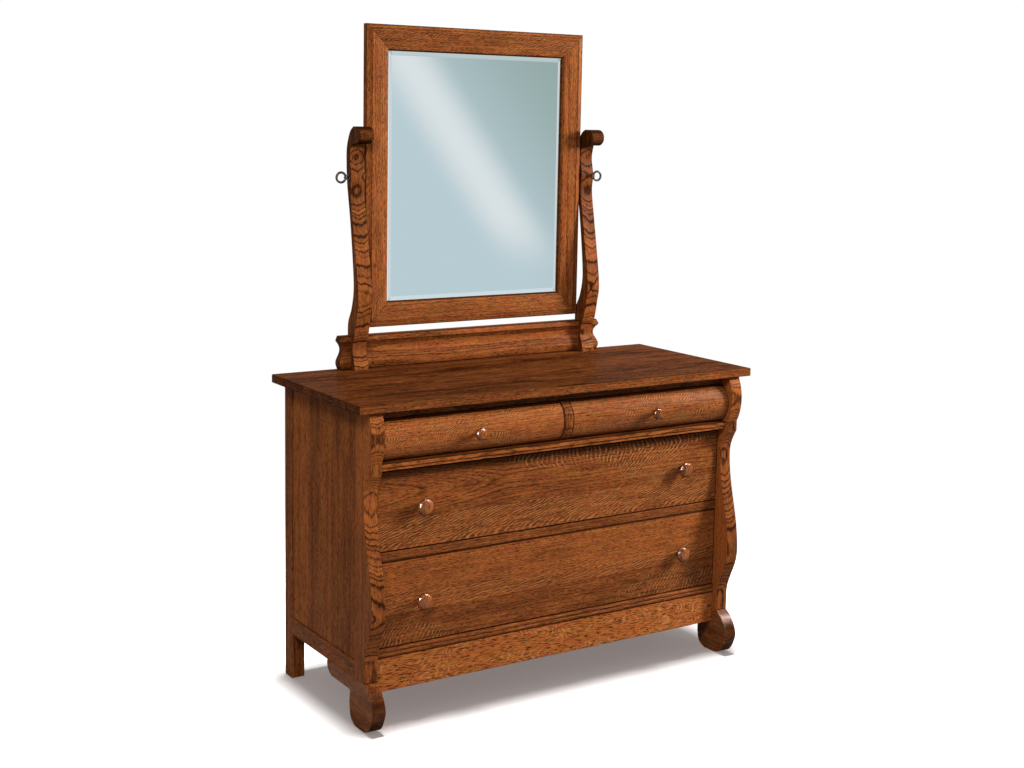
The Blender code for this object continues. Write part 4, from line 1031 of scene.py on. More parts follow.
        # Its X runs across the mirror's image and its Z down it, both from 0 to 1
        place = add(tree, "ShaderNodeTexCoord").outputs["Object"]
        down = add(tree, "ShaderNodeSeparateXYZ", {0: place}).outputs[2]
        slant = add(tree, "ShaderNodeVectorMath", {0: place, 1: (1.0, 0.0, -0.90)},
                    operation="DOT_PRODUCT")
        off = add(tree, "ShaderNodeMath", {
            0: add(tree, "ShaderNodeMath", {0: slant, 1: 0.07}, operation="SUBTRACT"),
        }, operation="ABSOLUTE")
        sheen = add(tree, "ShaderNodeMapRange", {
            "Value": off, "From Min": 0.02, "From Max": 0.26, "To Min": 1.0, "To Max": 0.0,
        }, interpolation_type="SMOOTHSTEP")
        tail = add(tree, "ShaderNodeMapRange", {
            "Value": down, "From Min": 0.66, "From Max": 0.95, "To Min": 1.0, "To Max": 0.0,
        }, interpolation_type="SMOOTHSTEP")
        sheen = add(tree, "ShaderNodeMath", {0: sheen, 1: tail}, operation="MULTIPLY")
        corner = add(tree, "ShaderNodeVectorMath", {0: place, 1: (0.80, 0.0, -0.85)},
                     operation="DOT_PRODUCT")
        shade = add(tree, "ShaderNodeMapRange", {
            "Value": corner, "From Min": -0.20, "From Max": 0.75,
        }, interpolation_type="SMOOTHSTEP")
        # Painted reflection: the glowing screen holds a painted pale slanting sheen and a painted
        # darker corner, which the mirror shows
        tint = rgba(linear("#cbd9de"))
        for share, tone in ((shade, "#a6b6b2"), (sheen, "#efefef")):
            tint = add(tree, "ShaderNodeMix", {"Factor": share, "A": tint, "B": rgba(linear(tone))},
                       data_type="RGBA")
        glow = add(tree, "ShaderNodeEmission", {"Color": tint, "Strength": 1.0})
        # The screen's border fades into the room
        outward = add(tree, "ShaderNodeSeparateXYZ", {
            0: add(tree, "ShaderNodeVectorMath", {
                0: add(tree, "ShaderNodeVectorMath", {0: place, 1: (0.5, 0.0, 0.5)},
                       operation="SUBTRACT"),
            }, operation="ABSOLUTE"),
        }).outputs
        border = add(tree, "ShaderNodeMapRange", {
            "Value": add(tree, "ShaderNodeMath", {0: outward[0], 1: outward[2]},
                         operation="MAXIMUM"),
            "From Min": 0.75, "From Max": 1.08,
        }, interpolation_type="SMOOTHSTEP")
        clear = add(tree, "ShaderNodeBsdfTransparent")
        mixed = add(tree, "ShaderNodeMixShader", {0: border, 1: glow, 2: clear})
        add(tree, "ShaderNodeOutputMaterial", {"Surface": mixed})
        screen.data.materials.append(made)
        screen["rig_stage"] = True


class DRESSER_OT_top(bpy.types.Operator):
    """Top panel of wide glued boards, its edges eased"""
    bl_idname = "dresser.top"
    bl_label = "Top panel"

    def execute(self, context):
        # Painted shade: the top's face is darker, as the light grazes it; its edges are lighter
        material = oak("stained oak, top boards", "top", gloss=0.045, heart=(60, -90),
                       stave=(118, 0.20), tone=-0.26, edge_tone=0.32, ring_strength=0.16,
                       drift=14, seed=3, flecks=(0.35, 7.0, 3.0, 0.08))
        finish_piece("top_board", block(TOP_LOW, TOP_HIGH), "top_panel", material,
                     edge=context.scene.dresser_case.edge * 1.4)
        return {"FINISHED"}


class DRESSER_OT_posts(bpy.types.Operator):
    """Front posts, sawn to a flowing S that cuts through the growth rings"""
    bl_idname = "dresser.posts"
    bl_label = "Front posts"

    def execute(self, context):
        case = context.scene.dresser_case
        # Painted light on the posts' sides, most on the right post's shaded inner side, and painted
        # shade in a dark line along each post's seam with its foot
        for side, sign, seed, tone, edge, fade in (
                ("left", -1, 5, 0.06, 0.10, (500, 590, 0.38)),
                ("right", 1, 9, -0.15, 0.85, (540, 800, 0.44))):
            node = "front_post_" + side
            x, foot = span(node, 0), span(node, 2)[0] * MM
            material = oak("stained oak, post " + side, "post",
                           heart=(sum(x) / 2 * MM - sign * 6, y_at(0.150) * MM), ring=0.75,
                           ring_strength=0.8, ring_edge=2.5, years=0.40, wobble=2.4, drift=16,
                           tone=tone, edge_tone=edge, fade=fade, seed=seed,
                           lines=((foot, FAR, -FAR, FAR), [(OUTSIDE, 3.0, 1.0)]))
            finish_piece("post_" + side, sawn(self.outline(case, node), x), node, material,
                         edge=case.edge)
        return {"FINISHED"}

    def outline(self, case, node):
        foot, top = span(node, 2)
        rail_low, rail_high = span("moulded_rail", 2)
        waist = (case.waist, rail_low - case.waist_drop)
        belly = (case.belly, span("lower_rail", 2)[1] + case.belly_rise)
        ankle = (case.ankle, span("front_foot_left", 2)[1] + case.ankle_rise)
        back = depths(node)[1]
        return (bow((case.head, top), (case.head, rail_high), case.bulge, 28)
                + [(case.head, rail_low)]
                + soft_step((case.head, rail_low), waist, 16, quick=True)
                + soft_step(waist, belly, 26) + soft_step(belly, ankle, 18)
                + [(case.ankle, foot), (back, foot), (back, top)])


class DRESSER_OT_feet(bpy.types.Operator):
    """Rounded front feet in one board with the brackets behind them"""
    bl_idname = "dresser.feet"
    bl_label = "Front feet"

    def execute(self, context):
        case = context.scene.dresser_case
        for side, seed in (("left", 12), ("right", 14)):
            node = "front_foot_" + side
            x = span(node, 0)
            material = oak("stained oak, foot " + side, "side_rail", gloss=0.09, polish=0.15,
                           heart=(210, sum(x) / 2 * MM + 25), ring=0.9, seed=seed,
                           flecks=(0.9, 6.0, 3.0, 0.9))
            finish_piece("foot_" + side, sawn(self.outline(case, node), x), node, material,
                         edge=case.edge)
        return {"FINISHED"}

    def outline(self, case, node):
        top = span(node, 2)[1]
        toe_tip, reach = depths(node)
        ankle, heel, bracket = case.ankle, case.heel, top - case.bracket
        toe = curve_through([
            (ankle, top),
            (ankle - (ankle - toe_tip) * 0.50, top * 0.87),
            (ankle - (ankle - toe_tip) * 0.90, top * 0.66),
            (toe_tip, top * 0.43),
            (toe_tip + (case.sole_front - toe_tip) * 0.42, top * 0.11),
            (case.sole_front, 0.0),
        ], 10)
        rear = curve_through([
            (case.sole_back, 0.0),
            (heel - 0.008, top * 0.12),
            (heel, top * 0.4),
            (heel - 0.003, bracket - 0.004),
        ], 9)
        radius = case.bracket * 0.85
        scroll = arc((reach - radius, bracket + radius), (radius, -radius), 0, pi / 2, 14)
        return toe + rear + [(heel + 0.006, bracket)] + scroll + [(reach, top)]


class DRESSER_OT_sides(bpy.types.Operator):
    """Rear legs, side rails and side panels"""
    bl_idname = "dresser.sides"
    bl_label = "Sides"

    def execute(self, context):
        for side, seed in (("left", 20), ("right", 23)):
            x = sum(span("side_panel_" + side, 0)) / 2 * MM
            dress(["side_panel_" + side], oak(
                "stained oak, side panel " + side, "side", gloss=0.04, heart=(150, x + 20),
                stave=(66, 0.40), tone=0.21, ring_strength=0.26, seed=seed,
                flecks=(0.30, 7.0, 3.0, 0.28)))
            dress(["rear_leg_" + side], oak(
                "stained oak, leg " + side, "side", heart=(y_at(0.40) * MM, x + 30),
                tone=-0.04, ring_strength=0.28, seed=seed + 1, flecks=(0.2, 8.0, 2.0, 0.2)))
            dress(["side_rail_" + side], oak(
                "stained oak, side rail " + side, "side_rail", heart=(20, x + 90),
                tone=0.02, ring_strength=0.20, seed=seed + 2, flecks=(0.3, 7.0, 3.0, 0.12)))
        return {"FINISHED"}


class DRESSER_OT_rails(bpy.types.Operator):
    """Rails across the front: plain, beaded and moulded, with the apron"""
    bl_idname = "dresser.rails"
    bl_label = "Rails and apron"

    def execute(self, context):
        dress(["front_top_rail", "back_rail"], oak(
            "stained oak, top rail", "rail", heart=(820, -120), tone=-0.15, seed=31))
        dress(["middle_rail"], oak(
            "stained oak, middle rail", "rail", heart=(520, y_at(0.06) * MM), tone=-0.06,
            ring_strength=0.22, seed=33, flecks=(0.3, 6.0, 3.0, 0.15)))
        # Painted shade: a dark line along the apron's top edge, under the beaded rail
        edge = span("apron", 2)[1] * MM
        dress(["apron"], oak(
            "stained oak, apron", "rail", heart=(20, y_at(0.05) * MM), tone=1.0,
            ring_strength=0.40, pores=1.6, dash=1.8, seed=35, flecks=(1.38, 20.0, 7.0, 0.50),
            lines=((-FAR, FAR, -FAR, edge), [(OUTSIDE, 2.6, 0.8)])))
        material = oak("stained oak, lower rail", "rail", heart=(150, y_at(0.16) * MM),
                       ring_strength=0.35, seed=37)
        finish_piece("beaded_rail", sawn(self.beads(), span("lower_rail", 0)), "lower_rail",
                     material)
        # Painted shade: the ledge's faces that turn up or down are darker, and a dark line runs
        # along its top edge, in the gap under the small drawers
        edge = span("moulded_rail", 2)[1] * MM
        material = oak("stained oak, moulded rail", "rail", heart=(690, y_at(0.075) * MM),
                       tone=0.28, edge_tone=-0.8, ring=0.9, ring_strength=0.75, drift=60, seed=39,
                       lines=((-FAR, FAR, -FAR, edge), [(OUTSIDE, 3.6, 0.95)]))
        finish_piece("moulded_ledge", sawn(self.moulding(), span("moulded_rail", 0)),
                     "moulded_rail", material)
        return {"FINISHED"}

    def beads(self):
        """Two beads, one over the other, that stand out from the apron's face."""
        low, high = span("lower_rail", 2)
        front, back = depths("lower_rail")
        face = depths("apron")[0]
        bead = (high - low) / 2
        radii = (front - face, -bead / 2)
        lower = arc((face, low + bead / 2), radii, 0, pi, 12)
        upper = arc((face, low + bead * 1.5), radii, 0, pi, 12)
        return lower + upper[1:] + [(back, high), (back, low)]

    def moulding(self):
        """Cove, strip, quirk and round fillet, from the apron's face up."""
        low, high = span("moulded_rail", 2)
        face, back = depths("moulded_rail")
        plane = depths("apron")[0]
        quirk, easing = 0.0020, 0.0016
        fillet_low = high - 0.0135
        strip_low = fillet_low - quirk - 0.0055
        step, hollow = face + 0.003, face + 0.007
        cove = arc((step, low), (plane - step, strip_low - low), pi / 2, 0, 8)
        return ([(back, low)] + cove
                + [(step, fillet_low - quirk), (hollow, fillet_low - quirk), (hollow, fillet_low)]
                + arc((face + easing, fillet_low + easing), (-easing, easing), pi, pi / 2, 4)
                + arc((face + easing, high - easing), (-easing, easing), pi / 2, 0, 4)
                + [(back, high)])


class DRESSER_OT_small_drawers(bpy.types.Operator):
    """Bowed fronts of the two small drawers, dovetailed at their ends, and the bowed stile"""
    bl_idname = "dresser.small_drawers"
    bl_label = "Small drawer fronts"

    def execute(self, context):
        case = context.scene.dresser_case
        for side, seed, tone in (("left", 41, 0.34), ("right", 45, 0.16)):
            node = f"drawer_small_{side}_front"
            low, high = (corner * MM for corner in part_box(node))
            # Painted shade: a dark line along each front's border, in the gap round it
            dress([node], oak(
                "stained oak, small front " + side, "rail", gloss=0.10,
                heart=(690, y_at(0.02) * MM), tone=tone, ring_strength=0.24, seed=seed,
                flecks=(0.85, 6.5, 9.0, 0.46),
                lines=((low.x, high.x, low.z, high.z), [(OUTSIDE, 2.8, 0.95)])))
        low, high = span("centre_stile", 2)
        face, back = case.front_edge - 0.002, depths("centre_stile")[1]
        outline = bow((face, high), (face, low), case.front_bulge, 30) + [(back, low), (back, high)]
        material = oak("stained oak, centre stile", "post", heart=(0, y_at(0.12) * MM),
                       tone=-0.02, ring_strength=0.5, drift=12, seed=48)
        finish_piece("bowed_stile", sawn(outline, span("centre_stile", 0)), "centre_stile",
                     material, edge=0.0008)
        return {"FINISHED"}


# Boards of the wide fronts: a heart is measured from the board's middle and a plane before the
# front, the slant runs between two shares of the length, and the flecks' curves are in shares

HEART_PLANE = 0.03  # depth of that plane

# Pointed arches at the left, flecks hanging from the top edge and round the knob
FLAME = {
    "heart": (4.0, 45), "tone": 0.02, "ring_strength": 0.30, "seed": 51, "drift": 16.0,
    "slant": (0.0, 0.34, 46.0),
    "drawn": {"pitch": 15.0, "reach": 240.0, "amount": 0.52, "turn": (0.42, 0.80),
              "lean": [(0.0, 1.0), (0.35, 0.42), (0.62, 0.11), (0.80, 0.0), (1.0, 0.04)],
              "edge": [(0.0, 1.0), (0.30, 1.0), (0.42, 0.68), (0.62, 0.60), (0.72, 0.10),
                       (0.84, 0.0), (0.90, 0.70), (1.0, 1.0)]},
}
# Long flecks that rise to the right, steepest along the bottom edge
STROKES = {
    "heart": (300.0, 60), "tone": 0.12, "ring_strength": 0.22, "seed": 53,
    "drawn": {"pitch": 21.0, "reach": 210.0, "amount": 0.46,
              "lean": [(0.0, 0.0), (0.18, 0.07), (0.40, 0.30), (1.0, 1.0)],
              "edge": [(0.0, 0.0), (1.0, 0.0)]},
}
# Fine streaks along the grain, with low flecks over the joint
STREAKS = {
    "heart": (-260.0, 40), "tone": 0.24, "ring_strength": 0.24, "seed": 57,
    "drawn": {"pitch": 34.0, "reach": 520.0, "amount": 0.34, "above": False,
              "lean": [(0.0, 0.0), (0.4, 0.45), (1.0, 1.0)],
              "edge": [(0.0, 0.50), (0.3, 0.36), (0.6, 0.30), (1.0, 0.45)]},
}
# Plain in the middle, with steep flecks at both ends
CORNERS = {
    "heart": (200.0, 90), "tone": -0.06, "ring_strength": 0.16, "seed": 59,
    "drawn": {"pitch": 12.0, "reach": 70.0, "amount": 0.34, "above": False,
              "lean": [(0.0, 0.0), (0.5, 0.40), (1.0, 1.0)],
              "edge": [(0.0, 0.92), (0.14, 0.60), (0.24, 0.0), (0.62, 0.0), (0.74, 0.55),
                       (0.86, 0.95), (1.0, 0.8)]},
}
UPPER_BOARD = 0.62  # its share of a wide front's height
RAIL_SHADE = (27.0, 0.62)  # height and depth of the painted shadow under the moulded rail


class DRESSER_OT_wide_drawers(bpy.types.Operator):
    """Flat fronts of the two wide drawers, glued from two boards each"""
    bl_idname = "dresser.wide_drawers"
    bl_label = "Wide drawer fronts"

    def execute(self, context):
        for row, upper, lower, top in (("upper", FLAME, STROKES, RAIL_SHADE),
                                       ("lower", STREAKS, CORNERS, None)):
            node = f"drawer_wide_{row}_front"
            low, high = (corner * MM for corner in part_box(node))
            split = high.z - (high.z - low.z) * UPPER_BOARD
            # Painted shade: a dark line along each front's border, in the gap round it, and on the
            # upper front a painted shadow under the moulded rail
            dress([node], oak(
                f"stained oak, {row} front", "rail", split=split,
                lower=self.placed(lower, (low.x, high.x, low.z, split)),
                lines=((low.x, high.x, low.z, high.z), [(OUTSIDE, 3.2, 1.0)], top),
                **self.placed(upper, (low.x, high.x, split, high.z))))
        return {"FINISHED"}

    def placed(self, board, field):
        """Figure of a board with its places on the front, field in millimetres."""
        start, end, low, high = field
        heart = (board["heart"][0] + (low + high) / 2, y_at(HEART_PLANE) * MM + board["heart"][1])
        figure = {**board, "heart": heart, "drawn": {**board["drawn"], "field": field}}
        if "slant" in board:
            first, last, shift = board["slant"]
            figure["slant"] = (start + first * (end - start), start + last * (end - start), shift)
        return figure


class DRESSER_OT_knobs(bpy.types.Operator):
    """Turned mushroom knobs with domed heads"""
    bl_idname = "dresser.knobs"
    bl_label = "Knobs"

    def execute(self, context):
        knobs = [(label, body, start) for body, (start, labels) in DRAWERS.items()
                 for label in labels]
        for seed, (label, body, start) in enumerate(knobs, 60):
            low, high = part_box("knob_" + label)
            centre = (low + high) / 2
            face = span(start + "_front", 1)[0] - TOUCH
            # Painted light: the left knobs are lighter, as the right ones face the key lamp more
            tone = 0.40 if label.endswith("left") else 0.10
            material = oak("stained oak, knob " + label, "post", gloss=0.20, polish=0.03,
                           heart=(centre.x * MM + 60, centre.y * MM + 30), ring=0.6,
                           tone=tone, seed=seed)
            profile = self.profile((high.x - low.x) / 2, face - low.y, high.y - face)
            finish_piece("turned_knob_" + label,
                         turned(profile, (centre.x, face, centre.z), (0, -1, 0), 56),
                         "knob_" + label, material, body=body)
        return {"FINISHED"}

    def profile(self, radius, reach, tenon):
        """Tenon, spreading foot, waisted neck and domed head of a knob."""
        foot, neck, head = radius * 0.42, radius * 0.33, reach * 0.60
        tenon_radius, fullness = 0.0045, 0.78
        base = [(tenon_radius, -tenon), (tenon_radius, 0.0), (foot, 0.0),
                (foot * 0.99, reach * 0.03)]
        waist = soft_step((foot, reach * 0.03), (neck, reach * 0.30), 8, quick=True)
        under = arc((neck, reach - head * 0.74), (radius * 0.95 - neck, -head * 0.26),
                    0, pi / 2, 8)
        # Round shoulder, flatter face
        turns = [k / 18 * pi / 2 for k in range(18)]
        dome = [(radius * cos(a) ** fullness, reach - head * 0.66 * (1 - sin(a) ** fullness))
                for a in turns]
        return base + waist + under + dome + [(0.0004, reach)]


class DRESSER_OT_mirror_base(bpy.types.Operator):
    """Moulded bar behind the top, its moulding returned round both ends"""
    bl_idname = "dresser.mirror_base"
    bl_label = "Mirror base"

    def execute(self, context):
        relief = context.scene.dresser_mirror.moulding
        low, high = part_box("mirror_base")
        rings = []
        steps, overhang = 75, 0.0055
        for k in range(steps + 1):
            share = k / steps
            inset = relief * (1 - self.moulding(share))
            x, front = high.x + overhang - inset, low.y + inset
            z = low.z + (high.z - low.z) * share
            rings.append([(-x, front, z), (x, front, z), (x, high.y, z), (-x, high.y, z)])
        # Painted shade: dark lines along the base's top and bottom edges, the lower one where it
        # meets the top panel
        material = oak("stained oak, mirror base", "rail", heart=(900, y_at(0.60) * MM),
                       tone=0.10, ring_strength=0.40, drift=20, seed=71,
                       flecks=(0.4, 6.0, 4.0, 0.34),
                       lines=((-FAR, FAR, low.z * MM, high.z * MM), [(OUTSIDE, 2.6, 0.95)]))
        finish_piece("moulded_base", prism(rings), "mirror_base", material)
        return {"FINISHED"}

    def moulding(self, share):
        """Relief of the moulded face at a share of its height: foot, cove, bead."""
        foot, cove, bead = 0.19, 0.58, 0.84
        if share < foot:
            return 0.54 + 0.46 * sin(share / foot * pi / 2)
        if share < cove:
            return (1 + cos((share - foot) / (cove - foot) * pi)) / 2
        if share <= bead:
            return ((share - cove) / (bead - cove)) ** 2
        return 0.54 + 0.46 * cos((share - bead) / (1 - bead) * pi / 2)


def pivot_place():
    """Depth and height of the axis that the mirror tilts on."""
    joint = next(j for j in frame["joints"] if j["name"] == "mirror_tilt")
    place = joint["pos_m"]
    return place[1] - TOP_LOW.y, place[2]


class DRESSER_OT_standards(bpy.types.Operator):
    """Scroll-topped standards, lapped over the base"""
    bl_idname = "dresser.standards"
    bl_label = "Standards"

    def execute(self, context):
        look = context.scene.dresser_mirror
        for side, sign, seed, shade in (("left", -1, 80, -0.24), ("right", 1, 84, -0.40)):
            node = "standard_" + side
            x, head = span(node, 0), span(node, 2)[1] * MM
            # A dark line of painted shade round the rolled head, the whole head a little darker,
            # and the sides, turned from the front, painted darker as painted shade
            roll = (head - 2 * look.roll * MM, FAR, x[0] * MM, x[1] * MM)
            material = oak("stained oak, standard " + side, "post",
                           heart=(sum(x) / 2 * MM - sign * 4, y_at(0.62) * MM), ring=0.7,
                           ring_strength=0.9, ring_edge=2.5, years=0.45, wobble=2.4, drift=16,
                           tone=0.06, edge_tone=-0.30, seed=seed, calm=(head - 60, head - 45),
                           fade=(head - 330, head - 190, shade),
                           lines=(roll, [(OUTSIDE, 2.6, 0.75), (2.0, 60.0, 0.28)]))
            finish_piece("scroll_standard_" + side, sawn(self.outline(look), x), node, material,
                         edge=0.0012)
        return {"FINISHED"}

    def outline(self, look):
        """Side outline: foot over the base, S-curved stem, rolled head with a groove."""
        base_low, base_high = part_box("mirror_base")
        pivot, pivot_z = pivot_place()
        foot, height = base_low.z, base_high.z - base_low.z
        lap = base_high.z + TOUCH
        behind = base_low.y - TOP_LOW.y - TOUCH
        rise = pivot_z - lap
        roll_z = pivot_z + look.roll_rise
        roll_top, roll_bottom = roll_z + look.roll, roll_z - look.roll
        front = curve_through([
            (behind - 0.025, foot),
            (behind - 0.024, foot + height * 0.13),
            (behind - 0.015, foot + height * 0.38),
            (behind - 0.009, foot + height * 0.62),
            (behind - 0.014, foot + height * 0.85),
            (behind - 0.025, lap + rise * 0.025),
            (pivot - 0.051, lap + rise * 0.135),
            (pivot - 0.059, lap + rise * 0.250),
            (pivot - 0.047, lap + rise * 0.440),
            (pivot - 0.022, lap + rise * 0.740),
            (pivot - 0.010, lap + rise * 0.900),
            (pivot - 0.014, lap + rise * 1.010),
            (pivot - 0.005, (pivot_z + roll_bottom) / 2 + 0.008),
            (pivot - 0.013, roll_bottom),
        ], 8)
        centre, nose = pivot - look.roll_reach, look.roll * 1.2
        tip, groove, groove_depth, shoulder = centre - nose, 0.0022, 0.0014, 0.0035
        roll = arc((centre, roll_z), (-nose, -look.roll), 0, pi, 24)
        back = curve_through([
            (pivot - 0.024, roll_top),
            (pivot - 0.004, roll_top - 0.015),
            (pivot + 0.014, pivot_z + 0.084),
            (pivot + 0.016, pivot_z + 0.036),
            (pivot + 0.011, lap + rise * 0.950),
            (pivot - 0.006, lap + rise * 0.750),
            (pivot - 0.022, lap + rise * 0.510),
            (pivot - 0.030, lap + rise * 0.310),
            (pivot - 0.018, lap + rise * 0.180),
            (pivot + 0.002, lap + rise * 0.090),
            (pivot + 0.005, lap),
        ], 8)
        return (front + [spot for spot in roll if spot[1] < roll_z - shoulder]
                + [(tip, roll_z - groove), (tip + groove_depth, roll_z), (tip, roll_z + groove)]
                + [spot for spot in roll if spot[1] > roll_z + shoulder]
                + back + [(behind, lap), (behind, foot)])


class DRESSER_OT_mirror_frame(bpy.types.Operator):
    """Four mitred frame members with a bevelled outer face and a lip at the glass"""
    bl_idname = "dresser.mirror_frame"
    bl_label = "Mirror frame"

    def execute(self, context):
        look = context.scene.dresser_mirror
        low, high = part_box("mirror_frame_left")[0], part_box("mirror_frame_right")[1]
        across, up = (high.x - low.x) / 2, (high.z - low.z) / 2
        middle = Vector((0.0, high.y, (low.z + high.z) / 2))
        sides, heights = (low.x * MM, high.x * MM), (low.z * MM, high.z * MM)
        member, ridge = look.member * MM, look.bevel * MM
        for seed, (label, turn, tone) in enumerate((
                ("top", 0.0, 0.05), ("bottom", pi, 0.12), ("left", -pi / 2, 0.26),
                ("right", pi / 2, 0.17)), 90):
            # Painted shade: a dark line round the outer edge and along the lip, where it turns from
            # the light; the right member's lip lies open and gets little, but painted shade falls
            # along its ridge. Faces turned from the front are painted darker too
            lines = [(OUTSIDE, 2.4, 0.75), (member - 2.8, member + 9, 0.85)]
            if label == "right":
                lines[1:] = [(member - 2.8, member + 9, 0.10), (ridge - 0.4, ridge + 2.8, 0.75)]
            if label in ("top", "bottom"):
                grain, heart, field = "rail", middle.z * MM + 900, sides + heights
                half, reach = across, up
            else:
                grain, heart, field = "post", 300, heights + sides
                half, reach = up, across
            material = oak("stained oak, frame " + label, grain, heart=(heart, high.y * MM + 20),
                           tone=tone, edge_tone=-0.45, ring_strength=0.24, drift=20, seed=seed,
                           flecks=(0.35, 6.0, 4.0, 0.28), lines=(field, lines))
            rings = [self.end(look, middle, turn, sign, half, reach) for sign in (-1, 1)]
            finish_piece("frame_member_" + label, prism(rings), "mirror_frame_" + label,
                         material, body="mirror", edge=0.0009, segments=2)
        return {"FINISHED"}

    def end(self, look, middle, turn, sign, half, reach):
        """Mitred end of a member, at the left (-1) or right (1) of one turned to the top."""
        ring = []
        for inset, forward in self.section(look):
            x, z = sign * (half - inset - 0.0002), reach - inset
            ring.append(middle + Vector((x * cos(turn) + z * sin(turn), -forward,
                                         z * cos(turn) - x * sin(turn))))
        return ring

    def section(self, look):
        """(Distance in from the outer edge, distance forward of the back) round a member."""
        sight, rebate, rebate_depth = look.member, 0.009, 0.010
        return [
            (0.0, 0.0),
            (0.0, look.outer),
            (look.bevel, look.ridge - 0.0015),
            (look.bevel, look.ridge),
            (sight - 0.008, look.lip + 0.002),
            (sight - 0.003, look.lip),
            (sight, look.lip - 0.004),
            (sight, rebate_depth),
            (sight - rebate, rebate_depth),
            (sight - rebate, 0.0),
        ]


class DRESSER_OT_mirror_glass(bpy.types.Operator):
    """Bevelled mirror glass and the board behind it"""
    bl_idname = "dresser.mirror_glass"
    bl_label = "Mirror glass"

    def execute(self, context):
        dress(["mirror_glass"], silvered_glass())
        # Plywood, sanded and stained brown: dull, with faint streaks, seen only from behind
        dress(["mirror_backing"], plain_wood(
            "brown plywood, mirror back", "post", "#8d6238", "#6b4524", 9, 160, 0.6))
        return {"FINISHED"}


class DRESSER_OT_thumb_screws(bpy.types.Operator):
    """Ring-headed thumb screws that clamp the mirror at its tilt"""
    bl_idname = "dresser.thumb_screws"
    bl_label = "Thumb screws"

    def execute(self, context):
        look = context.scene.dresser_mirror
        material = antique_pewter()
        depth, height = pivot_place()
        ball = 0.0062
        for side, sign in (("left", -1), ("right", 1)):
            outer = span("standard_" + side, 0)[0 if sign < 0 else 1] + sign * TOUCH
            root = span("thumb_screw_" + side, 0)[1 if sign < 0 else 0]
            collar = abs(outer - root)
            centre = collar + 0.0074
            profile = [(0.0016, 0.0), (0.0030, 0.002), (0.0030, collar), (0.0072, collar),
                       (0.0076, collar + 0.0006), (0.0074, collar + 0.0016),
                       (0.0056, collar + 0.0028), (0.0040, collar + 0.0032)]
            profile += arc((0.0, centre), (ball, ball), pi * 15 / 18, pi / 18, 14)
            profile += [(0.0022, centre + ball), (0.0018, centre + 0.0080)]
            place = Vector((root, y_at(depth), height))
            mesh_data = turned(profile, place, (sign, 0, 0), 32)
            reach = centre + ball + look.ring_radius - look.ring_wire
            self.add_ring(mesh_data, place + Vector((sign * reach, 0, 0)), look)
            finish_piece("ring_screw_" + side, mesh_data, "thumb_screw_" + side, material,
                         body="screw_" + side)
        return {"FINISHED"}

    def add_ring(self, mesh_data, centre, look):
        """Ring of round wire, standing in the plane of X and Z."""
        steps, sides = 48, 16
        round_wire = arc((look.ring_radius, 0.0), (look.ring_wire, look.ring_wire),
                         pi / 2, pi / 2 - 2 * pi, sides)[:-1]
        loops = []
        for k in range(steps):
            turn = 2 * pi * k / steps
            outward = Vector((cos(turn), 0, sin(turn)))
            loops.append([mesh_data.verts.new(centre + outward * out + Vector((0, y, 0)))
                          for out, y in round_wire])
        for here, there in zip(loops, loops[1:] + loops[:1]):
            for j in range(sides):
                n = (j + 1) % sides
                mesh_data.faces.new((here[j], here[n], there[n], there[j]))


class DRESSER_OT_inner_case(bpy.types.Operator):
    """Dust panels, partition and back panel"""
    bl_idname = "dresser.inner_case"
    bl_label = "Inside of the case"

    def execute(self, context):
        # Birch plywood, sanded and sealed: pale, with broad faint streaks
        dress(["dust_panel_upper", "dust_panel_middle", "dust_panel_lower", "centre_partition"],
              plain_wood("birch plywood, dust panels", "rail", "#b98a5a", "#94683c", 14, 220, 0.6))
        # Plywood, sanded and stained brown: dull, with faint streaks, seen only from behind
        dress(["back_panel"], plain_wood(
            "brown plywood, back", "post", "#8f6339", "#6d4726", 12, 240, 0.6))
        return {"FINISHED"}


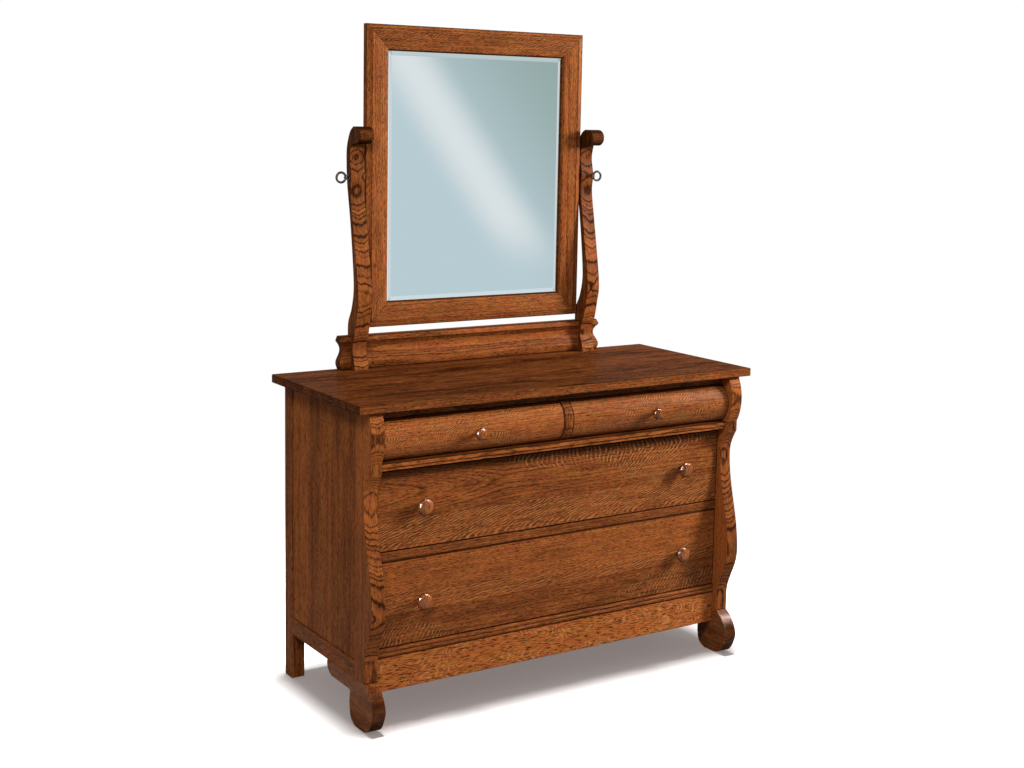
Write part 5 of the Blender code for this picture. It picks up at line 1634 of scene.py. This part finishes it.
class DRESSER_OT_drawer_boxes(bpy.types.Operator):
    """Dovetailed sides, backs and bottoms of the drawers"""
    bl_idname = "dresser.drawer_boxes"
    bl_label = "Drawer boxes"

    def execute(self, context):
        # Soft maple, planed and clear lacquered: pale, fine and even
        side, back = (
            plain_wood("soft maple, drawer " + part, grain, "#d8b383", "#bd9362", 8, 140, 0.42)
            for part, grain in (("sides", "side_rail"), ("backs", "rail"))
        )
        # Birch plywood, sanded and sealed: warm and pale, its streaks broad and faint
        bottom = plain_wood("birch plywood, drawer bottoms", "top", "#cda56f", "#b08653",
                            16, 260, 0.5)
        for drawer, _knobs in DRAWERS.values():
            dress([drawer + "_side_left", drawer + "_side_right"], side)
            dress([drawer + "_back"], back)
            dress([drawer + "_bottom"], bottom)
        return {"FINISHED"}


class DRESSER_PT_pieces(bpy.types.Panel):
    """Lists the dresser's pieces and their sizes"""
    bl_label = "Dresser with mirror"
    bl_idname = "DRESSER_PT_pieces"
    bl_space_type = "VIEW_3D"
    bl_region_type = "UI"
    bl_category = "Dresser"

    def draw(self, context):
        for operator in OPERATORS:
            self.layout.operator(operator.bl_idname)
        for group in (context.scene.dresser_case, context.scene.dresser_mirror,
                      context.scene.dresser_oak, context.scene.dresser_stage):
            box = self.layout.box()
            for name in group.__annotations__:
                box.prop(group, name)


GROUPS = {
    "dresser_oak": DresserOak, "dresser_case": DresserCase,
    "dresser_mirror": DresserMirror, "dresser_stage": DresserStage,
}
OPERATORS = (
    DRESSER_OT_top, DRESSER_OT_posts, DRESSER_OT_feet, DRESSER_OT_sides,
    DRESSER_OT_rails, DRESSER_OT_small_drawers, DRESSER_OT_wide_drawers, DRESSER_OT_knobs,
    DRESSER_OT_mirror_base, DRESSER_OT_standards, DRESSER_OT_mirror_frame,
    DRESSER_OT_mirror_glass, DRESSER_OT_thumb_screws, DRESSER_OT_inner_case,
    DRESSER_OT_drawer_boxes, DRESSER_OT_stage,
)


def register():
    for kind in (*GROUPS.values(), *OPERATORS, DRESSER_PT_pieces):
        bpy.utils.register_class(kind)
    for name, kind in GROUPS.items():
        setattr(bpy.types.Scene, name, PointerProperty(type=kind))


def unregister():
    for name in GROUPS:
        delattr(bpy.types.Scene, name)
    for kind in (DRESSER_PT_pieces, *reversed(OPERATORS), *reversed(list(GROUPS.values()))):
        bpy.utils.unregister_class(kind)


def main():
    register()
    for operator in OPERATORS:
        group, name = operator.bl_idname.split(".")
        getattr(getattr(bpy.ops, group), name)()


if __name__ == "__main__":
    main()
